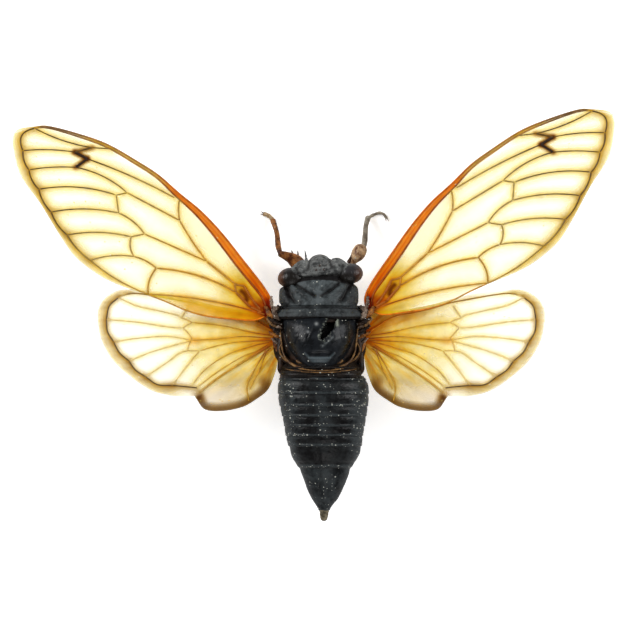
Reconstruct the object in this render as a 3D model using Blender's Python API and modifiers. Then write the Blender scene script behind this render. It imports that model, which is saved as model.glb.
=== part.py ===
"""Periodical cicada, life size: a dried, spread specimen that lies on its underside.

The head points along +Y, the animal's right side along +X, and the floor is z = 0. The origin
is on the floor under the middle of the wingspan. Lengths below are millimetres, and MM turns
them into metres when a mesh is made. The two wing plans are drawn in picture points of a plan
view, which BODY_LENGTH scales to real size.
"""
import math

import bmesh
import bpy
import numpy as np
from mathutils import Vector
from mathutils.geometry import delaunay_2d_cdt

MM = 0.001
GAP = 0.3                      # clearance between neighbouring pieces

# Plan view: picture points, x to the right and y downwards
BODY_LENGTH = 29.2             # front of the head to the tip of the abdomen
PLAN_HEAD_Y = 254.0
PLAN_TAIL_Y = 519.8
PLAN_CENTRE = (315.05, 313.6)
SCALE = BODY_LENGTH / (PLAN_TAIL_Y - PLAN_HEAD_Y)

# Body
SIDES = 28                     # points round a body ring
HEAD_TURN = math.radians(3.97)  # the dried head is turned a little to the animal's left
NECK = (0.605, 3.95)
EYE_OUT = 3.6
EYE_FORWARD = 0.23
EYE_Z = 6.1
EYE_RADII = (1.1, 1.22, 1.2)
FACE_RADII = (1.5, 1.65)
FACE_FORWARD = 0.95
FACE_REAR = 0.6
FACE_BOTTOM = 2.5
FACE_TOP = 7.0
FACE_RIDGES = 6
STERNUM_Z = 2.5                # flat sockets of the middle and hind legs
CHEST_Z = 2.9                  # flat sockets of the front legs
TERGITE_STEP = 0.13            # how far each back plate stands over the next

# Wings
MEMBRANE = 0.5
VEIN_THICK = 0.86
COSTA_THICK = 1.16
VEIN_HALF = 0.36               # half width of a vein's ridge
FORE_Z = 7.4
HIND_Z = 6.15
WING_RISE = math.tan(math.radians(3.0))
WING_ROOT_X = 5.3              # distance of the wing roots from the body's middle line
FORE_HINGE = (368.0, 306.0)    # plan points of the right wings' hinges
HIND_HINGE = (366.0, 338.0)
FORE_HINGE_LEFT = (269.0, 310.6)
HIND_HINGE_LEFT = (276.4, 338.0)
FORE_DROOP = math.radians(3.16)  # the left forewing is spread a little lower

# Legs: half distance of the hip sockets from the middle line
FORE_HIP = (1.6, 1.6)
MID_HIP = (1.75, -1.5)
HIND_HIP = (1.75, -6.05)
BODY_X = 0.5                   # middle line of the thorax

BLACK = (0.018, 0.018, 0.022)
EYE_BROWN = (0.075, 0.035, 0.026)
LEG_BROWN = (0.16, 0.055, 0.025)
AMBER = (0.80, 0.42, 0.08)
AMBER_DEEP = (0.72, 0.34, 0.05)
OCHRE = (0.30, 0.17, 0.06)


# Small tools for materials, objects and curves
def material(name, colour, roughness):
    mat = bpy.data.materials.new(name)
    mat.use_nodes = True
    shader = mat.node_tree.nodes["Principled BSDF"]
    shader.inputs["Base Color"].default_value = (*colour, 1.0)
    shader.inputs["Roughness"].default_value = roughness
    shader.inputs["Metallic"].default_value = 0.0
    return mat


def new_collection(name):
    collection = bpy.data.collections.new(name)
    bpy.context.scene.collection.children.link(collection)
    return collection


def add_object(name, mesh, collection, mat=None):
    if mat:
        mesh.materials.append(mat)
    obj = bpy.data.objects.new(name, mesh)
    collection.objects.link(obj)
    return obj


def smooth_path(points, step):
    """Catmull-Rom curve through the points, with a point about every step."""
    pts = np.asarray(points, float)
    ext = np.vstack([2 * pts[0] - pts[1], pts, 2 * pts[-1] - pts[-2]])
    out = []
    for i in range(len(pts) - 1):
        a, b, c, d = ext[i:i + 4]
        n = max(1, round(np.linalg.norm(c - b) / step))
        t = (np.arange(n) / n)[:, None]
        out.append(0.5 * (2 * b + (c - a) * t + (2 * a - 5 * b + 4 * c - d) * t ** 2
                          + (3 * b - a - 3 * c + d) * t ** 3))
    out.append(pts[-1:])
    return np.vstack(out)


def ring(x, y, z, half, up, down, power=2.4, shear=0.0, lean=0.0, sides=SIDES):
    """Superellipse across the body, with its own height above and below the centre. Shear
    swings its right side forward and lean its top."""
    a = np.arange(sides) * 2 * math.pi / sides
    c, s = np.cos(a), np.sin(a)
    px = half * np.sign(c) * np.abs(c) ** (2 / power)
    pz = np.where(s >= 0, up, down) * np.sign(s) * np.abs(s) ** (2 / power)
    return np.column_stack([x + px, y + shear * px + lean * pz, z + pz])


def loft(name, rings, collection, mat=None, floor=None):
    """Skin over rings of equal count. A ring of one point closes its end to a tip."""
    bm = bmesh.new()
    rows = []
    for points in rings:
        points = np.atleast_2d(points).copy()
        if floor is not None:
            points[:, 2] = np.maximum(points[:, 2], floor)
        rows.append([bm.verts.new(Vector(p) * MM) for p in points])
    for low, high in zip(rows, rows[1:]):
        n = max(len(low), len(high))
        for i in range(n):
            j = (i + 1) % n
            if len(low) == 1:
                bm.faces.new((low[0], high[i], high[j]))
            elif len(high) == 1:
                bm.faces.new((low[i], low[j], high[0]))
            else:
                bm.faces.new((low[i], low[j], high[j], high[i]))
    for row in (rows[0], rows[-1]):
        if len(row) > 1:
            bm.faces.new(row)
    bmesh.ops.recalc_face_normals(bm, faces=bm.faces)
    mesh = bpy.data.meshes.new(name)
    bm.to_mesh(mesh)
    bm.free()
    return add_object(name, mesh, collection, mat)


def tube(name, points, radii, collection, mat=None, sides=8, floor=None, tip=False):
    """Round limb along a path: rings square to it, turned as little as possible."""
    pts = np.asarray(points, float)
    tangents = np.gradient(pts, axis=0)
    side = np.cross(tangents[0], (0.0, 0.0, 1.0))
    if np.linalg.norm(side) < 1e-6:
        side = np.array((1.0, 0.0, 0.0))
    rings = []
    for p, t, r in zip(pts, tangents, radii):
        t = t / np.linalg.norm(t)
        side = side - t * side.dot(t)
        side = side / np.linalg.norm(side)
        other = np.cross(t, side)
        a = (np.arange(sides) + 0.5) * 2 * math.pi / sides
        rings.append(p + r * (np.cos(a)[:, None] * side + np.sin(a)[:, None] * other))
    if tip:
        rings[-1] = pts[-1:]
    return loft(name, rings, collection, mat, floor)


def keep_largest(mesh):
    """Leave only the largest closed surface of a mesh."""
    bm = bmesh.new()
    bm.from_mesh(mesh)
    left = set(bm.verts)
    groups = []
    while left:
        stack = [left.pop()]
        group = set(stack)
        while stack:
            for edge in stack.pop().link_edges:
                for vert in edge.verts:
                    if vert in left:
                        left.discard(vert)
                        group.add(vert)
                        stack.append(vert)
        groups.append(group)
    groups.sort(key=len)
    scraps = [v for group in groups[:-1] for v in group]
    bmesh.ops.delete(bm, geom=scraps, context="VERTS")
    bm.to_mesh(mesh)
    bm.free()


def apply_modifiers(obj):
    evaluated = obj.evaluated_get(bpy.context.evaluated_depsgraph_get())
    mesh = bpy.data.meshes.new_from_object(evaluated)
    obj.modifiers.clear()
    old = obj.data
    obj.data = mesh
    bpy.data.meshes.remove(old)
    keep_largest(mesh)
    mesh.name = obj.name


def fuse(core, pieces, solver="EXACT"):
    """Union of the core with the pieces, which are used up."""
    joined = bpy.data.collections.new(core.name + "_pieces")
    bpy.context.scene.collection.children.link(joined)
    for piece in pieces:
        for old in piece.users_collection:
            old.objects.unlink(piece)
        joined.objects.link(piece)
    union = core.modifiers.new("union", "BOOLEAN")
    union.operation = "UNION"
    union.operand_type = "COLLECTION"
    union.collection = joined
    union.solver = solver
    apply_modifiers(core)
    for piece in list(joined.objects):
        bpy.data.objects.remove(piece)
    bpy.data.collections.remove(joined)
    return core


def finish(obj, angle=40):
    obj.data.shade_smooth()
    obj.data.set_sharp_from_angle(angle=math.radians(angle))
    return obj


def ellipsoid(name, centre, radii, collection, mat=None, segments=16, rows=10):
    bm = bmesh.new()
    bmesh.ops.create_uvsphere(bm, u_segments=segments, v_segments=rows, radius=1.0)
    for v in bm.verts:
        v.co = (Vector(centre) + Vector(c * r for c, r in zip(v.co, radii))) * MM
    mesh = bpy.data.meshes.new(name)
    bm.to_mesh(mesh)
    bm.free()
    return add_object(name, mesh, collection, mat)


for old_object in list(bpy.data.objects):
    bpy.data.objects.remove(old_object)
parts = new_collection("periodical_cicada")
cutters = new_collection("cutters")
scrap = new_collection("joined_pieces")

black = material("cuticle_black", BLACK, 0.32)
leg_brown = material("leg_brown", LEG_BROWN, 0.4)
eye_brown = material("eye_brown", EYE_BROWN, 0.2)


# Head: skull with the swollen, ridged face in front, the eyes' cups and the antenna sockets.
# It is built straight, round the neck, and then turned.
def on_head(points):
    """From the head's own frame, with the neck at x = y = 0, to the object's frame."""
    p = np.atleast_2d(np.asarray(points, float))
    c, s = math.cos(HEAD_TURN), math.sin(HEAD_TURN)
    x = NECK[0] + c * p[:, 0] - s * p[:, 1]
    y = NECK[1] + s * p[:, 0] + c * p[:, 1]
    return np.column_stack([x, y, p[:, 2]])


HEAD_RINGS = (  # forward, centre height, half width, up, down
    (0.15, 5.8, 3.30, 1.75, 2.10),
    (0.45, 5.8, 3.60, 1.85, 2.30),
    (0.90, 5.8, 3.65, 1.85, 2.30),
    (1.35, 5.9, 3.35, 1.62, 1.85),
    (1.75, 6.0, 2.85, 1.28, 1.10),
    (2.05, 6.0, 2.25, 0.95, 0.70),
    (2.25, 6.0, 1.50, 0.65, 0.45),
)
skull = [on_head(ring(0, y, z, half, up, down, 2.5)) for y, z, half, up, down in HEAD_RINGS]
head = loft("head", skull, parts, black)


def face_ring(z):
    """Level section of the swollen face: an egg with a groove between each two ridges."""
    t = (z - FACE_BOTTOM) / (FACE_TOP - FACE_BOTTOM)
    swell = math.sin(math.pi * min(max(0.06 + 0.86 * t, 0.0), 1.0)) ** 0.55
    groove = 1 - 0.06 * (0.5 - 0.5 * math.cos(2 * math.pi * FACE_RIDGES * t))
    a = np.arange(18) * 2 * math.pi / 18
    x = FACE_RADII[0] * swell * groove * np.cos(a)
    deep = np.where(np.sin(a) > 0, FACE_RADII[1], FACE_REAR)
    y = FACE_FORWARD + deep * swell * groove * np.sin(a)
    return on_head(np.column_stack([x, y, np.full(18, z)]))


face_levels = np.linspace(FACE_BOTTOM, FACE_TOP, 2 * FACE_RIDGES + 1)
face = loft("face", [face_ring(z) for z in face_levels], scrap)
head_pieces = [face]
lip = [(0, 0.75, 3.2), (0, 0.8, 2.7), (0, 0.8, 2.35)]
head_pieces.append(tube("lip", on_head(lip), (0.85, 0.75, 0.5), scrap, sides=10))
ANTENNA_BASE = (1.8, 2.15, 5.35)
for side in (-1, 1):
    x, y, z = ANTENNA_BASE
    socket = on_head([(side * x, 1.2, z + 0.1), (side * x, y - 0.4, z), (side * x, y, z)])
    head_pieces.append(tube("socket", socket, (0.5, 0.42, 0.36), scrap))
    ledge = on_head([(side * 1.9, 1.65, 6.2)])[0]
    head_pieces.append(ellipsoid("ledge", ledge, (0.75, 0.45, 0.35), scrap, segments=10, rows=6))
for x, y, z in ((0.45, 0.75, 7.58), (-0.45, 0.75, 7.58), (0.0, 1.25, 7.42)):
    ocellus = on_head([(x, y, z)])[0]
    head_pieces.append(ellipsoid("ocellus", ocellus, (0.2, 0.2, 0.17), scrap, segments=8, rows=5))
fuse(head, head_pieces)

eye_sockets = bpy.data.collections.new("eye_sockets")
cutters.children.link(eye_sockets)
for side, name in ((-1, "left"), (1, "right")):
    centre = on_head([(side * EYE_OUT, EYE_FORWARD, EYE_Z)])[0]
    finish(ellipsoid("eye_" + name, centre, EYE_RADII, parts, eye_brown, segments=18, rows=12))
    room = [r + GAP for r in EYE_RADII]
    cup = ellipsoid("eye_socket_" + name, centre, room, eye_sockets, segments=18, rows=12)
    cup.hide_render = True
    cup.display_type = "WIRE"


def cut_sockets(obj):
    cut = obj.modifiers.new("eye_sockets", "BOOLEAN")
    cut.operation = "DIFFERENCE"
    cut.operand_type = "COLLECTION"
    cut.collection = eye_sockets
    cut.solver = "EXACT"
    apply_modifiers(obj)


cut_sockets(head)
finish(head)

# Beak, folded back under the chest between the legs
beak_path = np.vstack([on_head([(0, 0.7, 1.95), (0, 0.0, 1.75)]), (BODY_X, 2.2, 1.5),
                       (BODY_X, 0.6, 1.25), (BODY_X, -0.7, 1.1)])
finish(tube("rostrum", beak_path, (0.45, 0.42, 0.36, 0.3, 0.18), parts, black))

# Antennae: a stout base joint and a bristle. The left one reaches forward, the right one hangs.
ANTENNA_TIPS = {"left": (0.0, 0.82, -0.9), "right": (0.3, 0.3, -1.7)}
for side, name in ((-1, "left"), (1, "right")):
    x, y, z = ANTENNA_BASE
    out, forward, rise = ANTENNA_TIPS[name]
    reach = [(0, GAP, 0), (0.2 * out, GAP + 0.3, -0.05), (0.45 * out, GAP + 0.3 + 0.4 * forward,
             0.35 * rise), (out, GAP + forward, rise)]
    bristle = on_head([(side * (x + dx), y + dy, z + dz) for dx, dy, dz in reach])
    finish(tube("antenna_" + name, bristle, (0.3, 0.27, 0.16, 0.07), parts, black, sides=7))

# First chest ring: a shield with a raised wedge on its back, grooves beside it and a collar.
PRONOTUM_RINGS = (  # y, half width, centre height, up, down
    (3.80, 2.50, 5.8, 1.85, 2.10),
    (3.35, 3.25, 5.8, 2.10, 2.35),
    (2.85, 3.90, 5.8, 2.35, 2.50),
    (2.20, 4.16, 5.8, 2.60, 2.60),
    (1.50, 4.22, 5.8, 2.85, 2.65),
    (0.95, 4.20, 5.8, 2.98, 2.65),
    (0.72, 4.26, 5.8, 2.96, 2.65),
    (0.42, 4.60, 5.8, 3.22, 2.70),
    (0.10, 4.70, 5.8, 3.32, 2.75),
    (-0.18, 4.70, 5.8, 3.30, 2.75),
    (-0.25, 4.60, 5.8, 3.20, 2.70),
)


def shield_relief(points, y):
    """Raise the wedge along the middle of the back and sink the groove on each side of it."""
    wedge = 0.35 + 1.35 * min(max((y - 1.0) / 2.6, 0.0), 1.0)
    x = np.abs(points[:, 0] - BODY_X)
    top = np.clip((points[:, 2] - 6.8) / 1.0, 0, 1)
    amount = 0.14 * np.exp(-(x / wedge) ** 4) - 0.16 * np.exp(-((x - wedge - 0.45) / 0.3) ** 2)
    points[:, 2] += amount * top * (1.0 if y > 0.8 else 0.0)
    return points


shield = []
for y, half, z, up, down in PRONOTUM_RINGS:
    slant = math.tan(HEAD_TURN) * min(max((y - 2.5) / 1.3, 0), 1)
    shield.append(shield_relief(ring(BODY_X, y, z, half, up, down, 2.5, slant,
                                         sides=32), y))
pronotum = loft("pronotum", shield, parts, black)


def hip_sockets(hip, z, radius=0.75, depth=1.2):
    """Two flat-ended stubs under the chest that the hips meet."""
    stubs = []
    for side in (-1, 1):
        x = BODY_X + side * hip[0]
        line = [(x, hip[1], z + depth), (x, hip[1], z)]
        stubs.append(tube("hip_socket", line, (radius, radius), scrap, sides=10))
    return stubs


fuse(pronotum, hip_sockets(FORE_HIP, CHEST_Z))
cut_sockets(pronotum)
finish(pronotum)

# Second chest ring: the shining dome with its raised cross behind, the forewings' sockets on
# its sides and the middle legs' sockets below.
MESO_RINGS = (  # y, half width, up, down, lean
    (-0.55, 3.95, 3.10, 3.00, 0.0),
    (-0.75, 4.10, 3.40, 3.10, 0.0),
    (-1.40, 4.12, 3.80, 3.20, 0.0),
    (-2.20, 4.02, 4.00, 3.20, -0.04),
    (-2.90, 3.84, 4.05, 3.20, -0.08),
    (-3.55, 3.55, 3.95, 3.15, -0.11),
    (-4.10, 3.25, 3.75, 3.10, -0.14),
    (-4.50, 2.95, 3.50, 3.05, -0.16),
    (-4.85, 2.70, 3.35, 3.00, -0.18),
    (-5.05, 2.45, 3.20, 2.95, -0.18),
)
CHEST_AXIS_Z = 5.8
CHEST_LEAN = -0.18             # the seam behind the second ring leans back at its top
CROSS_Y = -4.4


def cross_relief(points, y):
    """The raised cross: a block at the middle and four arms that run out from it."""
    x = np.abs(points[:, 0] - BODY_X)
    top = np.clip((points[:, 2] - 8.0) / 0.6, 0, 1)
    block = np.exp(-(x / 1.25) ** 6) * math.exp(-((y - CROSS_Y) / 0.55) ** 4)
    points[:, 2] += 0.28 * block * top
    return points


dome = [cross_relief(ring(BODY_X, y, CHEST_AXIS_Z, half, up, down, 2.3, lean=lean, sides=32), y)
        for y, half, up, down, lean in MESO_RINGS]
mesothorax = loft("mesothorax", dome, parts, black)
meso_pieces = hip_sockets(MID_HIP, STERNUM_Z)
FORE_ROOT = (-1.35, 7.2)       # y and z of the forewings' sockets
for side in (-1, 1):
    y, z = FORE_ROOT
    line = [(BODY_X + side * 3.0, y, z - 0.1), (BODY_X + side * 4.2, y, z),
            (BODY_X + side * (WING_ROOT_X - GAP - 0.35), y, z)]
    meso_pieces.append(tube("wing_socket", line, (1.0, 0.85, 0.7), scrap, sides=10))
fuse(mesothorax, meso_pieces)
finish(mesothorax)

# Third chest ring: a narrow band behind the dome, with a shoulder on each side that runs
# forward under the forewing and carries the hindwing.
META_RINGS = (  # y, half width, up, down, lean
    (-5.05 - GAP - 0.02, 4.00, 2.90, 2.95, -0.18),
    (-5.60, 4.40, 3.00, 3.00, -0.17),
    (-6.10, 4.62, 2.90, 3.10, -0.10),
    (-6.60, 4.66, 2.75, 3.20, -0.03),
    (-6.75, 4.58, 2.65, 3.20, 0.0),
)
META_X = BODY_X + 0.15
band = [ring(META_X, y, CHEST_AXIS_Z, half, up, down, 2.4, lean=lean)
        for y, half, up, down, lean in META_RINGS]
ochre = material("cuticle_ochre", OCHRE, 0.45)
metathorax = loft("metathorax", band, parts, ochre)
SHOULDER_X = 4.35              # stubs at the front corners, which carry the hindwings
SHOULDER_Y = -5.75
meta_pieces = hip_sockets(HIND_HIP, STERNUM_Z, 0.6, 1.0)
for side in (-1, 1):
    x = META_X + side * SHOULDER_X
    line = [(x - side * 0.5, -6.5, 5.9), (x, SHOULDER_Y - 0.3, 6.1), (x, SHOULDER_Y, HIND_Z)]
    meta_pieces.append(tube("shoulder", line, (0.5, 0.4, 0.4), scrap, sides=10))
fuse(metathorax, meta_pieces)
finish(metathorax)

# Abdomen: back plates that each end in a small step over the next, the underside flat where
# it rests on the floor.
PLATE_ENDS = (-7.31, -8.96, -9.95, -11.33, -12.6, -13.59, -14.69, -16.9)
BELLY = (  # y, middle line x, half width, centre height, up, down
    (-7.05, 0.75, 4.55, 5.0, 3.35, 3.30),
    (-7.86, 0.88, 4.90, 4.9, 3.60, 3.70),
    (-9.50, 0.90, 4.92, 4.6, 3.75, 4.15),
    (-11.70, 0.95, 4.49, 4.2, 3.60, 4.45),
    (-13.60, 1.02, 4.18, 3.85, 3.30, 4.15),
    (-15.00, 1.08, 3.68, 3.55, 2.95, 3.50),
    (-16.90, 1.12, 2.88, 3.15, 2.40, 2.75),
    (-18.30, 1.14, 2.18, 2.90, 1.95, 2.10),
    (-19.75, 1.12, 1.62, 2.60, 1.45, 1.60),
    (-21.40, 1.02, 0.62, 2.15, 0.60, 0.75),
    (-22.69, 0.98, 0.30, 1.75, 0.28, 0.28),
)


def belly_ring(y, grow):
    table = np.array(BELLY)[::-1]
    x, half, z, up, down = (np.interp(y, table[:, 0], table[:, k]) for k in range(1, 6))
    return ring(x, y, z, half + grow, up + grow, down + 0.4 * grow, 2.15)


plates = [belly_ring(-7.05, -TERGITE_STEP)]
front = -7.05
for end in PLATE_ENDS:
    if front - end > 0.8:
        plates.append(belly_ring(0.5 * (front + end), -0.25 * TERGITE_STEP))
    plates.append(belly_ring(end + 0.1, 0.0))
    if end != PLATE_ENDS[-1]:
        plates.append(belly_ring(end - 0.05, -TERGITE_STEP))
    front = end
plates.append(belly_ring(PLATE_ENDS[-1], -0.04))
abdomen = finish(loft("abdomen", plates, parts, black, floor=0.0), 25)

# Last segment: a cone with the egg blade's sheath below and the small tube at its tip.
TIP_FRONT = PLATE_ENDS[-1] - GAP
cone = [belly_ring(y, -0.22) for y in (TIP_FRONT, -18.3, -19.4, -20.6, -21.4)]
cone += [belly_ring(-21.5, -0.12), belly_ring(-22.2, 0.05), belly_ring(-22.6, -0.02)]
abdomen_tip = loft("abdomen_tip", cone, parts, black, floor=0.0)
sheath_line = [(1.12, TIP_FRONT, 0.85), (1.13, -18.6, 0.9), (1.1, -20.2, 1.1), (1.04, -21.9, 1.35)]
sheath = tube("sheath", sheath_line, (0.4, 0.42, 0.36, 0.16), scrap)
fuse(abdomen_tip, [sheath])
finish(abdomen_tip)


# Legs: hip, thigh, shin and foot as one limb each, with claws, and teeth on the front thighs.
def claws(foot, heading, length=0.75, spread=0.5):
    """Two small hooks that part from the end of the foot."""
    heading = np.array(heading) / np.linalg.norm(heading)
    across = np.array((-heading[1], heading[0], 0.0))
    hooks = []
    for side in (-1, 1):
        mid = foot + length * 0.55 * heading + side * 0.6 * spread * length * across
        end = foot + length * heading + side * spread * length * across + np.array((0, 0, -0.1))
        root = foot - 0.15 * heading
        hooks.append(tube("claw", [root, mid, end], (0.13, 0.11, 0.03), scrap, sides=4, floor=0.0))
    return hooks


def leg(name, lengths, heading, teeth=()):
    """Thigh with hip, shin and foot, each a limb of its own, fused where they overlap."""
    limbs = [tube(name if k == 0 else "limb", *length, parts if k == 0 else scrap,
                  leg_brown, floor=0.0) for k, length in enumerate(lengths)]
    pieces = limbs[1:] + claws(np.array(lengths[-1][0][-1], float), heading)
    for root, tip in teeth:
        root, tip = np.array(root), np.array(tip)
        thorn = [root, 0.5 * (root + tip), tip]
        pieces.append(tube("tooth", thorn, (0.24, 0.16, 0.03), scrap, sides=5))
    fuse(limbs[0], pieces)
    return finish(limbs[0], 50)


hip_top = CHEST_Z - GAP
leg("foreleg_left", (
    ([(BODY_X - 1.6, 1.6, hip_top), (BODY_X - 1.7, 1.9, 2.1), (-1.45, 3.3, 2.1),
      (-1.6, 4.3, 2.3), (-2.2, 5.5, 2.6), (-3.0, 6.15, 2.85), (-3.75, 6.55, 2.9),
      (-4.15, 6.75, 2.85)], (0.66, 0.7, 0.66, 0.6, 0.72, 0.7, 0.5, 0.28)),
    ([(-3.7, 6.35, 2.95), (-3.95, 6.95, 2.65), (-4.11, 7.56, 2.2), (-4.27, 8.95, 1.3),
      (-4.65, 10.29, 0.55), (-4.85, 10.6, 0.4)], (0.24, 0.3, 0.28, 0.27, 0.29, 0.2)),
    ([(-4.6, 10.25, 0.5), (-4.95, 10.62, 0.27), (-5.3, 10.83, 0.18), (-5.5, 10.9, 0.16)],
     (0.16, 0.24, 0.22, 0.2))), (-0.85, 0.3, 0.0),
    teeth=(((-2.3, 5.6, 2.6), (-1.95, 6.85, 2.4)), ((-3.0, 6.2, 2.7), (-2.85, 7.1, 2.3))))
leg("foreleg_right", (
    ([(BODY_X + 1.6, 1.6, hip_top), (BODY_X + 1.7, 1.9, 2.1), (2.45, 3.3, 2.1),
      (2.85, 4.2, 2.3), (3.84, 5.45, 2.6), (4.6, 6.5, 2.85), (5.1, 7.0, 2.9),
      (5.45, 7.4, 2.85)], (0.66, 0.7, 0.66, 0.6, 0.72, 0.74, 0.66, 0.3)),
    ([(5.25, 6.9, 2.95), (5.4, 7.6, 2.6), (5.52, 8.7, 1.8), (5.62, 9.7, 1.1),
      (5.85, 10.6, 0.45), (5.95, 10.85, 0.35)], (0.24, 0.3, 0.28, 0.27, 0.29, 0.2)),
    ([(5.75, 10.5, 0.4), (6.25, 10.85, 0.22), (6.67, 11.03, 0.18), (7.11, 11.17, 0.18),
      (7.55, 11.03, 0.18), (7.9, 10.62, 0.16)], (0.16, 0.24, 0.23, 0.22, 0.22, 0.18))),
    (0.25, -0.9, 0.0),
    teeth=(((3.9, 5.6, 2.6), (3.55, 6.75, 2.4)), ((4.6, 6.5, 2.8), (4.2, 7.35, 2.4))))


def folded_leg(name, side, hip, top, knee, ankle, toe):
    """A leg folded under the body: thigh out to the knee, shin back to the ankle, foot back.
    Knee, ankle and toe are measured from the hip, outwards, forwards and up from the floor."""
    x, y = BODY_X + side * hip[0], hip[1]

    def at(place):
        return np.array((x + side * place[0], y + place[1], place[2]))

    hip_point = np.array((x, y, top))
    knee, ankle, toe = at(knee), at(ankle), at(toe)
    bend = hip_point + np.array((side * 0.1, 0.1, -0.5))
    thigh = [hip_point, bend, bend + 0.5 * (knee - bend), knee + 0.1 * (bend - knee),
             knee + 0.12 * (knee - bend)]
    shin_way = ankle - knee
    shin = [knee - 0.05 * shin_way, knee + 0.15 * shin_way, knee + 0.5 * shin_way, ankle,
            ankle + 0.05 * shin_way]
    foot = [ankle - 0.1 * (toe - ankle), ankle + 0.15 * (toe - ankle), 0.5 * (ankle + toe), toe]
    leg(name, ((thigh, (0.66, 0.62, 0.52, 0.44, 0.3)), (shin, (0.22, 0.28, 0.26, 0.28, 0.2)),
               (foot, (0.16, 0.24, 0.23, 0.2))), (toe - ankle) * np.array((1, 1, 0)))


for side, name in ((-1, "left"), (1, "right")):
    folded_leg("midleg_" + name, side, MID_HIP, STERNUM_Z - GAP, (2.0, 2.1, 1.35),
               (1.35, -1.4, 0.24), (1.1, -2.9, 0.16))
    folded_leg("hindleg_" + name, side, HIND_HIP, STERNUM_Z - GAP,
               (2.3, 1.6, 1.3), (2.35, -3.9, 0.24), (2.05, -5.7, 0.16))


# Wings: each is a sheet laid out in plan, with its veins drawn as lines between named
# junctions. The sheet is thickened, most along the veins, and joined to a root.
FORE_COSTA = ((365.8, 306), (366, 296), (372.3, 279.5), (390, 253.5), (410, 224.8), (430, 201.5),
              (450, 183.3), (470, 163.7), (490, 149), (520, 129.7), (550, 117.4), (577.6, 108.8),
              (591.4, 108.6))
FORE_MARGIN = ((606.8, 109.8), (613.7, 114), (615.5, 126), (611, 153), (603, 169), (591, 187),
               (573, 220.5), (559.3, 242.2), (539.6, 260), (519.8, 271.9), (488.5, 285),
               (470, 291.6), (450, 302.5), (430, 310), (405, 314), (384, 316.5), (372, 312))
FORE_JUNCTIONS = {
    "tip1": (591.5, 111.3), "tip2": (604.5, 133), "tip3": (599.5, 152.4), "tip4": (590.8, 172.3),
    "tip5": (579.8, 195.7), "tip6": (565.2, 219.4), "tip7": (543.4, 246), "heel": (487.8, 283),
    "w1": (535.3, 133.7), "w2": (553, 137.2), "w3": (540.8, 144.6), "w4": (553, 152.4),
    "costa": (516, 136), "fork1": (503, 180.6), "fork2": (514, 182.4), "fork3": (512.6, 200.4),
    "mid1": (488, 222.6), "mid2": (501.4, 224.8), "mid3": (499.6, 244.7), "rear": (478, 257.6),
    "inner1": (452.2, 211.1), "inner2": (427.3, 253.4), "node1": (459, 187.5),
    "node2": (452.5, 193.5), "arch1": (401, 277), "arch2": (400, 285.8), "root1": (385, 302),
    "root2": (380, 306), "stem": (384, 283),
}
FORE_VEINS = (  # from, to, bow to the left of the way in picture points
    ("tip1", "tip2", 8), ("tip2", "tip3", 2), ("tip3", "tip4", 2), ("tip4", "tip5", 2),
    ("tip5", "tip6", 2), ("tip6", "tip7", 2), ("tip7", "heel", 3), ("tip1", "w1", 2.6),
    ("w1", "costa", 0), ("w1", "w2", 0), ("w2", "w3", 0), ("w3", "w4", 0), ("tip2", "w2", -1.7),
    ("w3", "node1", -2), ("tip3", "w4", -1.3), ("w4", "fork1", -4), ("tip4", "fork2", -5),
    ("fork2", "fork1", 0), ("fork2", "fork3", 0), ("tip5", "fork3", -3.6),
    ("fork3", "mid1", -2.5), ("tip6", "mid2", -3.5), ("mid2", "mid1", 0), ("mid2", "mid3", 2.4),
    ("tip7", "mid3", -2.8), ("mid3", "rear", -1.7), ("rear", "heel", 3), ("rear", "arch2", -5),
    ("fork1", "inner1", 0), ("mid1", "inner2", 0), ("inner2", "arch1", 0),
    ("inner1", "inner2", 1), ("node2", "inner1", 1), ("heel", "root2", -3.7),
    ("arch1", "arch2", 0), ("arch2", "root1", 0), ("arch1", "stem", 1.5),
)
RIM_STEP = 8.5                 # spacing of the points round a wing, along its veins, and
VEIN_STEP = 11.0               # of the loose points that fill its cells
FILL = 24.0
COSTA_BAND = ((365, 8), (385, 11), (405, 11), (440, 6.5), (470, 4), (545, 4), (592, 2))

HIND_COSTA = ((366.5, 334.5), (372, 328), (380, 322.8), (394, 316), (412, 312), (430, 308),
              (442, 304.3), (455, 299.5), (480, 291.3), (500, 290), (515, 289))
HIND_MARGIN = ((525, 290.5), (533.4, 295.3), (540.3, 301.8), (544.3, 311), (544.5, 320.5),
               (540.3, 340), (528.2, 360), (509.7, 376.5), (490, 389.5), (470, 394.8),
               (451.8, 395.3), (448.5, 395.5), (446.5, 400), (438, 410.4), (420, 412),
               (400, 408), (387, 401), (375, 391), (368.5, 376.5), (367.2, 362), (366.5, 347))
HIND_JUNCTIONS = {
    "edge1": (521.3, 299), "edge2": (532.9, 321), "edge3": (525, 342), "edge4": (511.4, 360),
    "edge5": (495.7, 375.3), "edge6": (469.9, 383.2), "edge7": (447.5, 386.5),
    "front": (454, 302.6), "zig1": (461.3, 317.9), "zig2": (450.3, 322.4), "zig3": (459.5, 328),
    "zig4": (452, 340), "zig5": (457, 351.5), "zig6": (442.9, 350.8), "root1": (368, 333.5),
    "root2": (386, 333), "root3": (376, 337.5), "root4": (388, 341.8), "root5": (380, 350),
    "root6": (372, 350), "lobe1": (393.5, 398), "lobe2": (442.4, 391), "lobe3": (384, 372),
}
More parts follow.
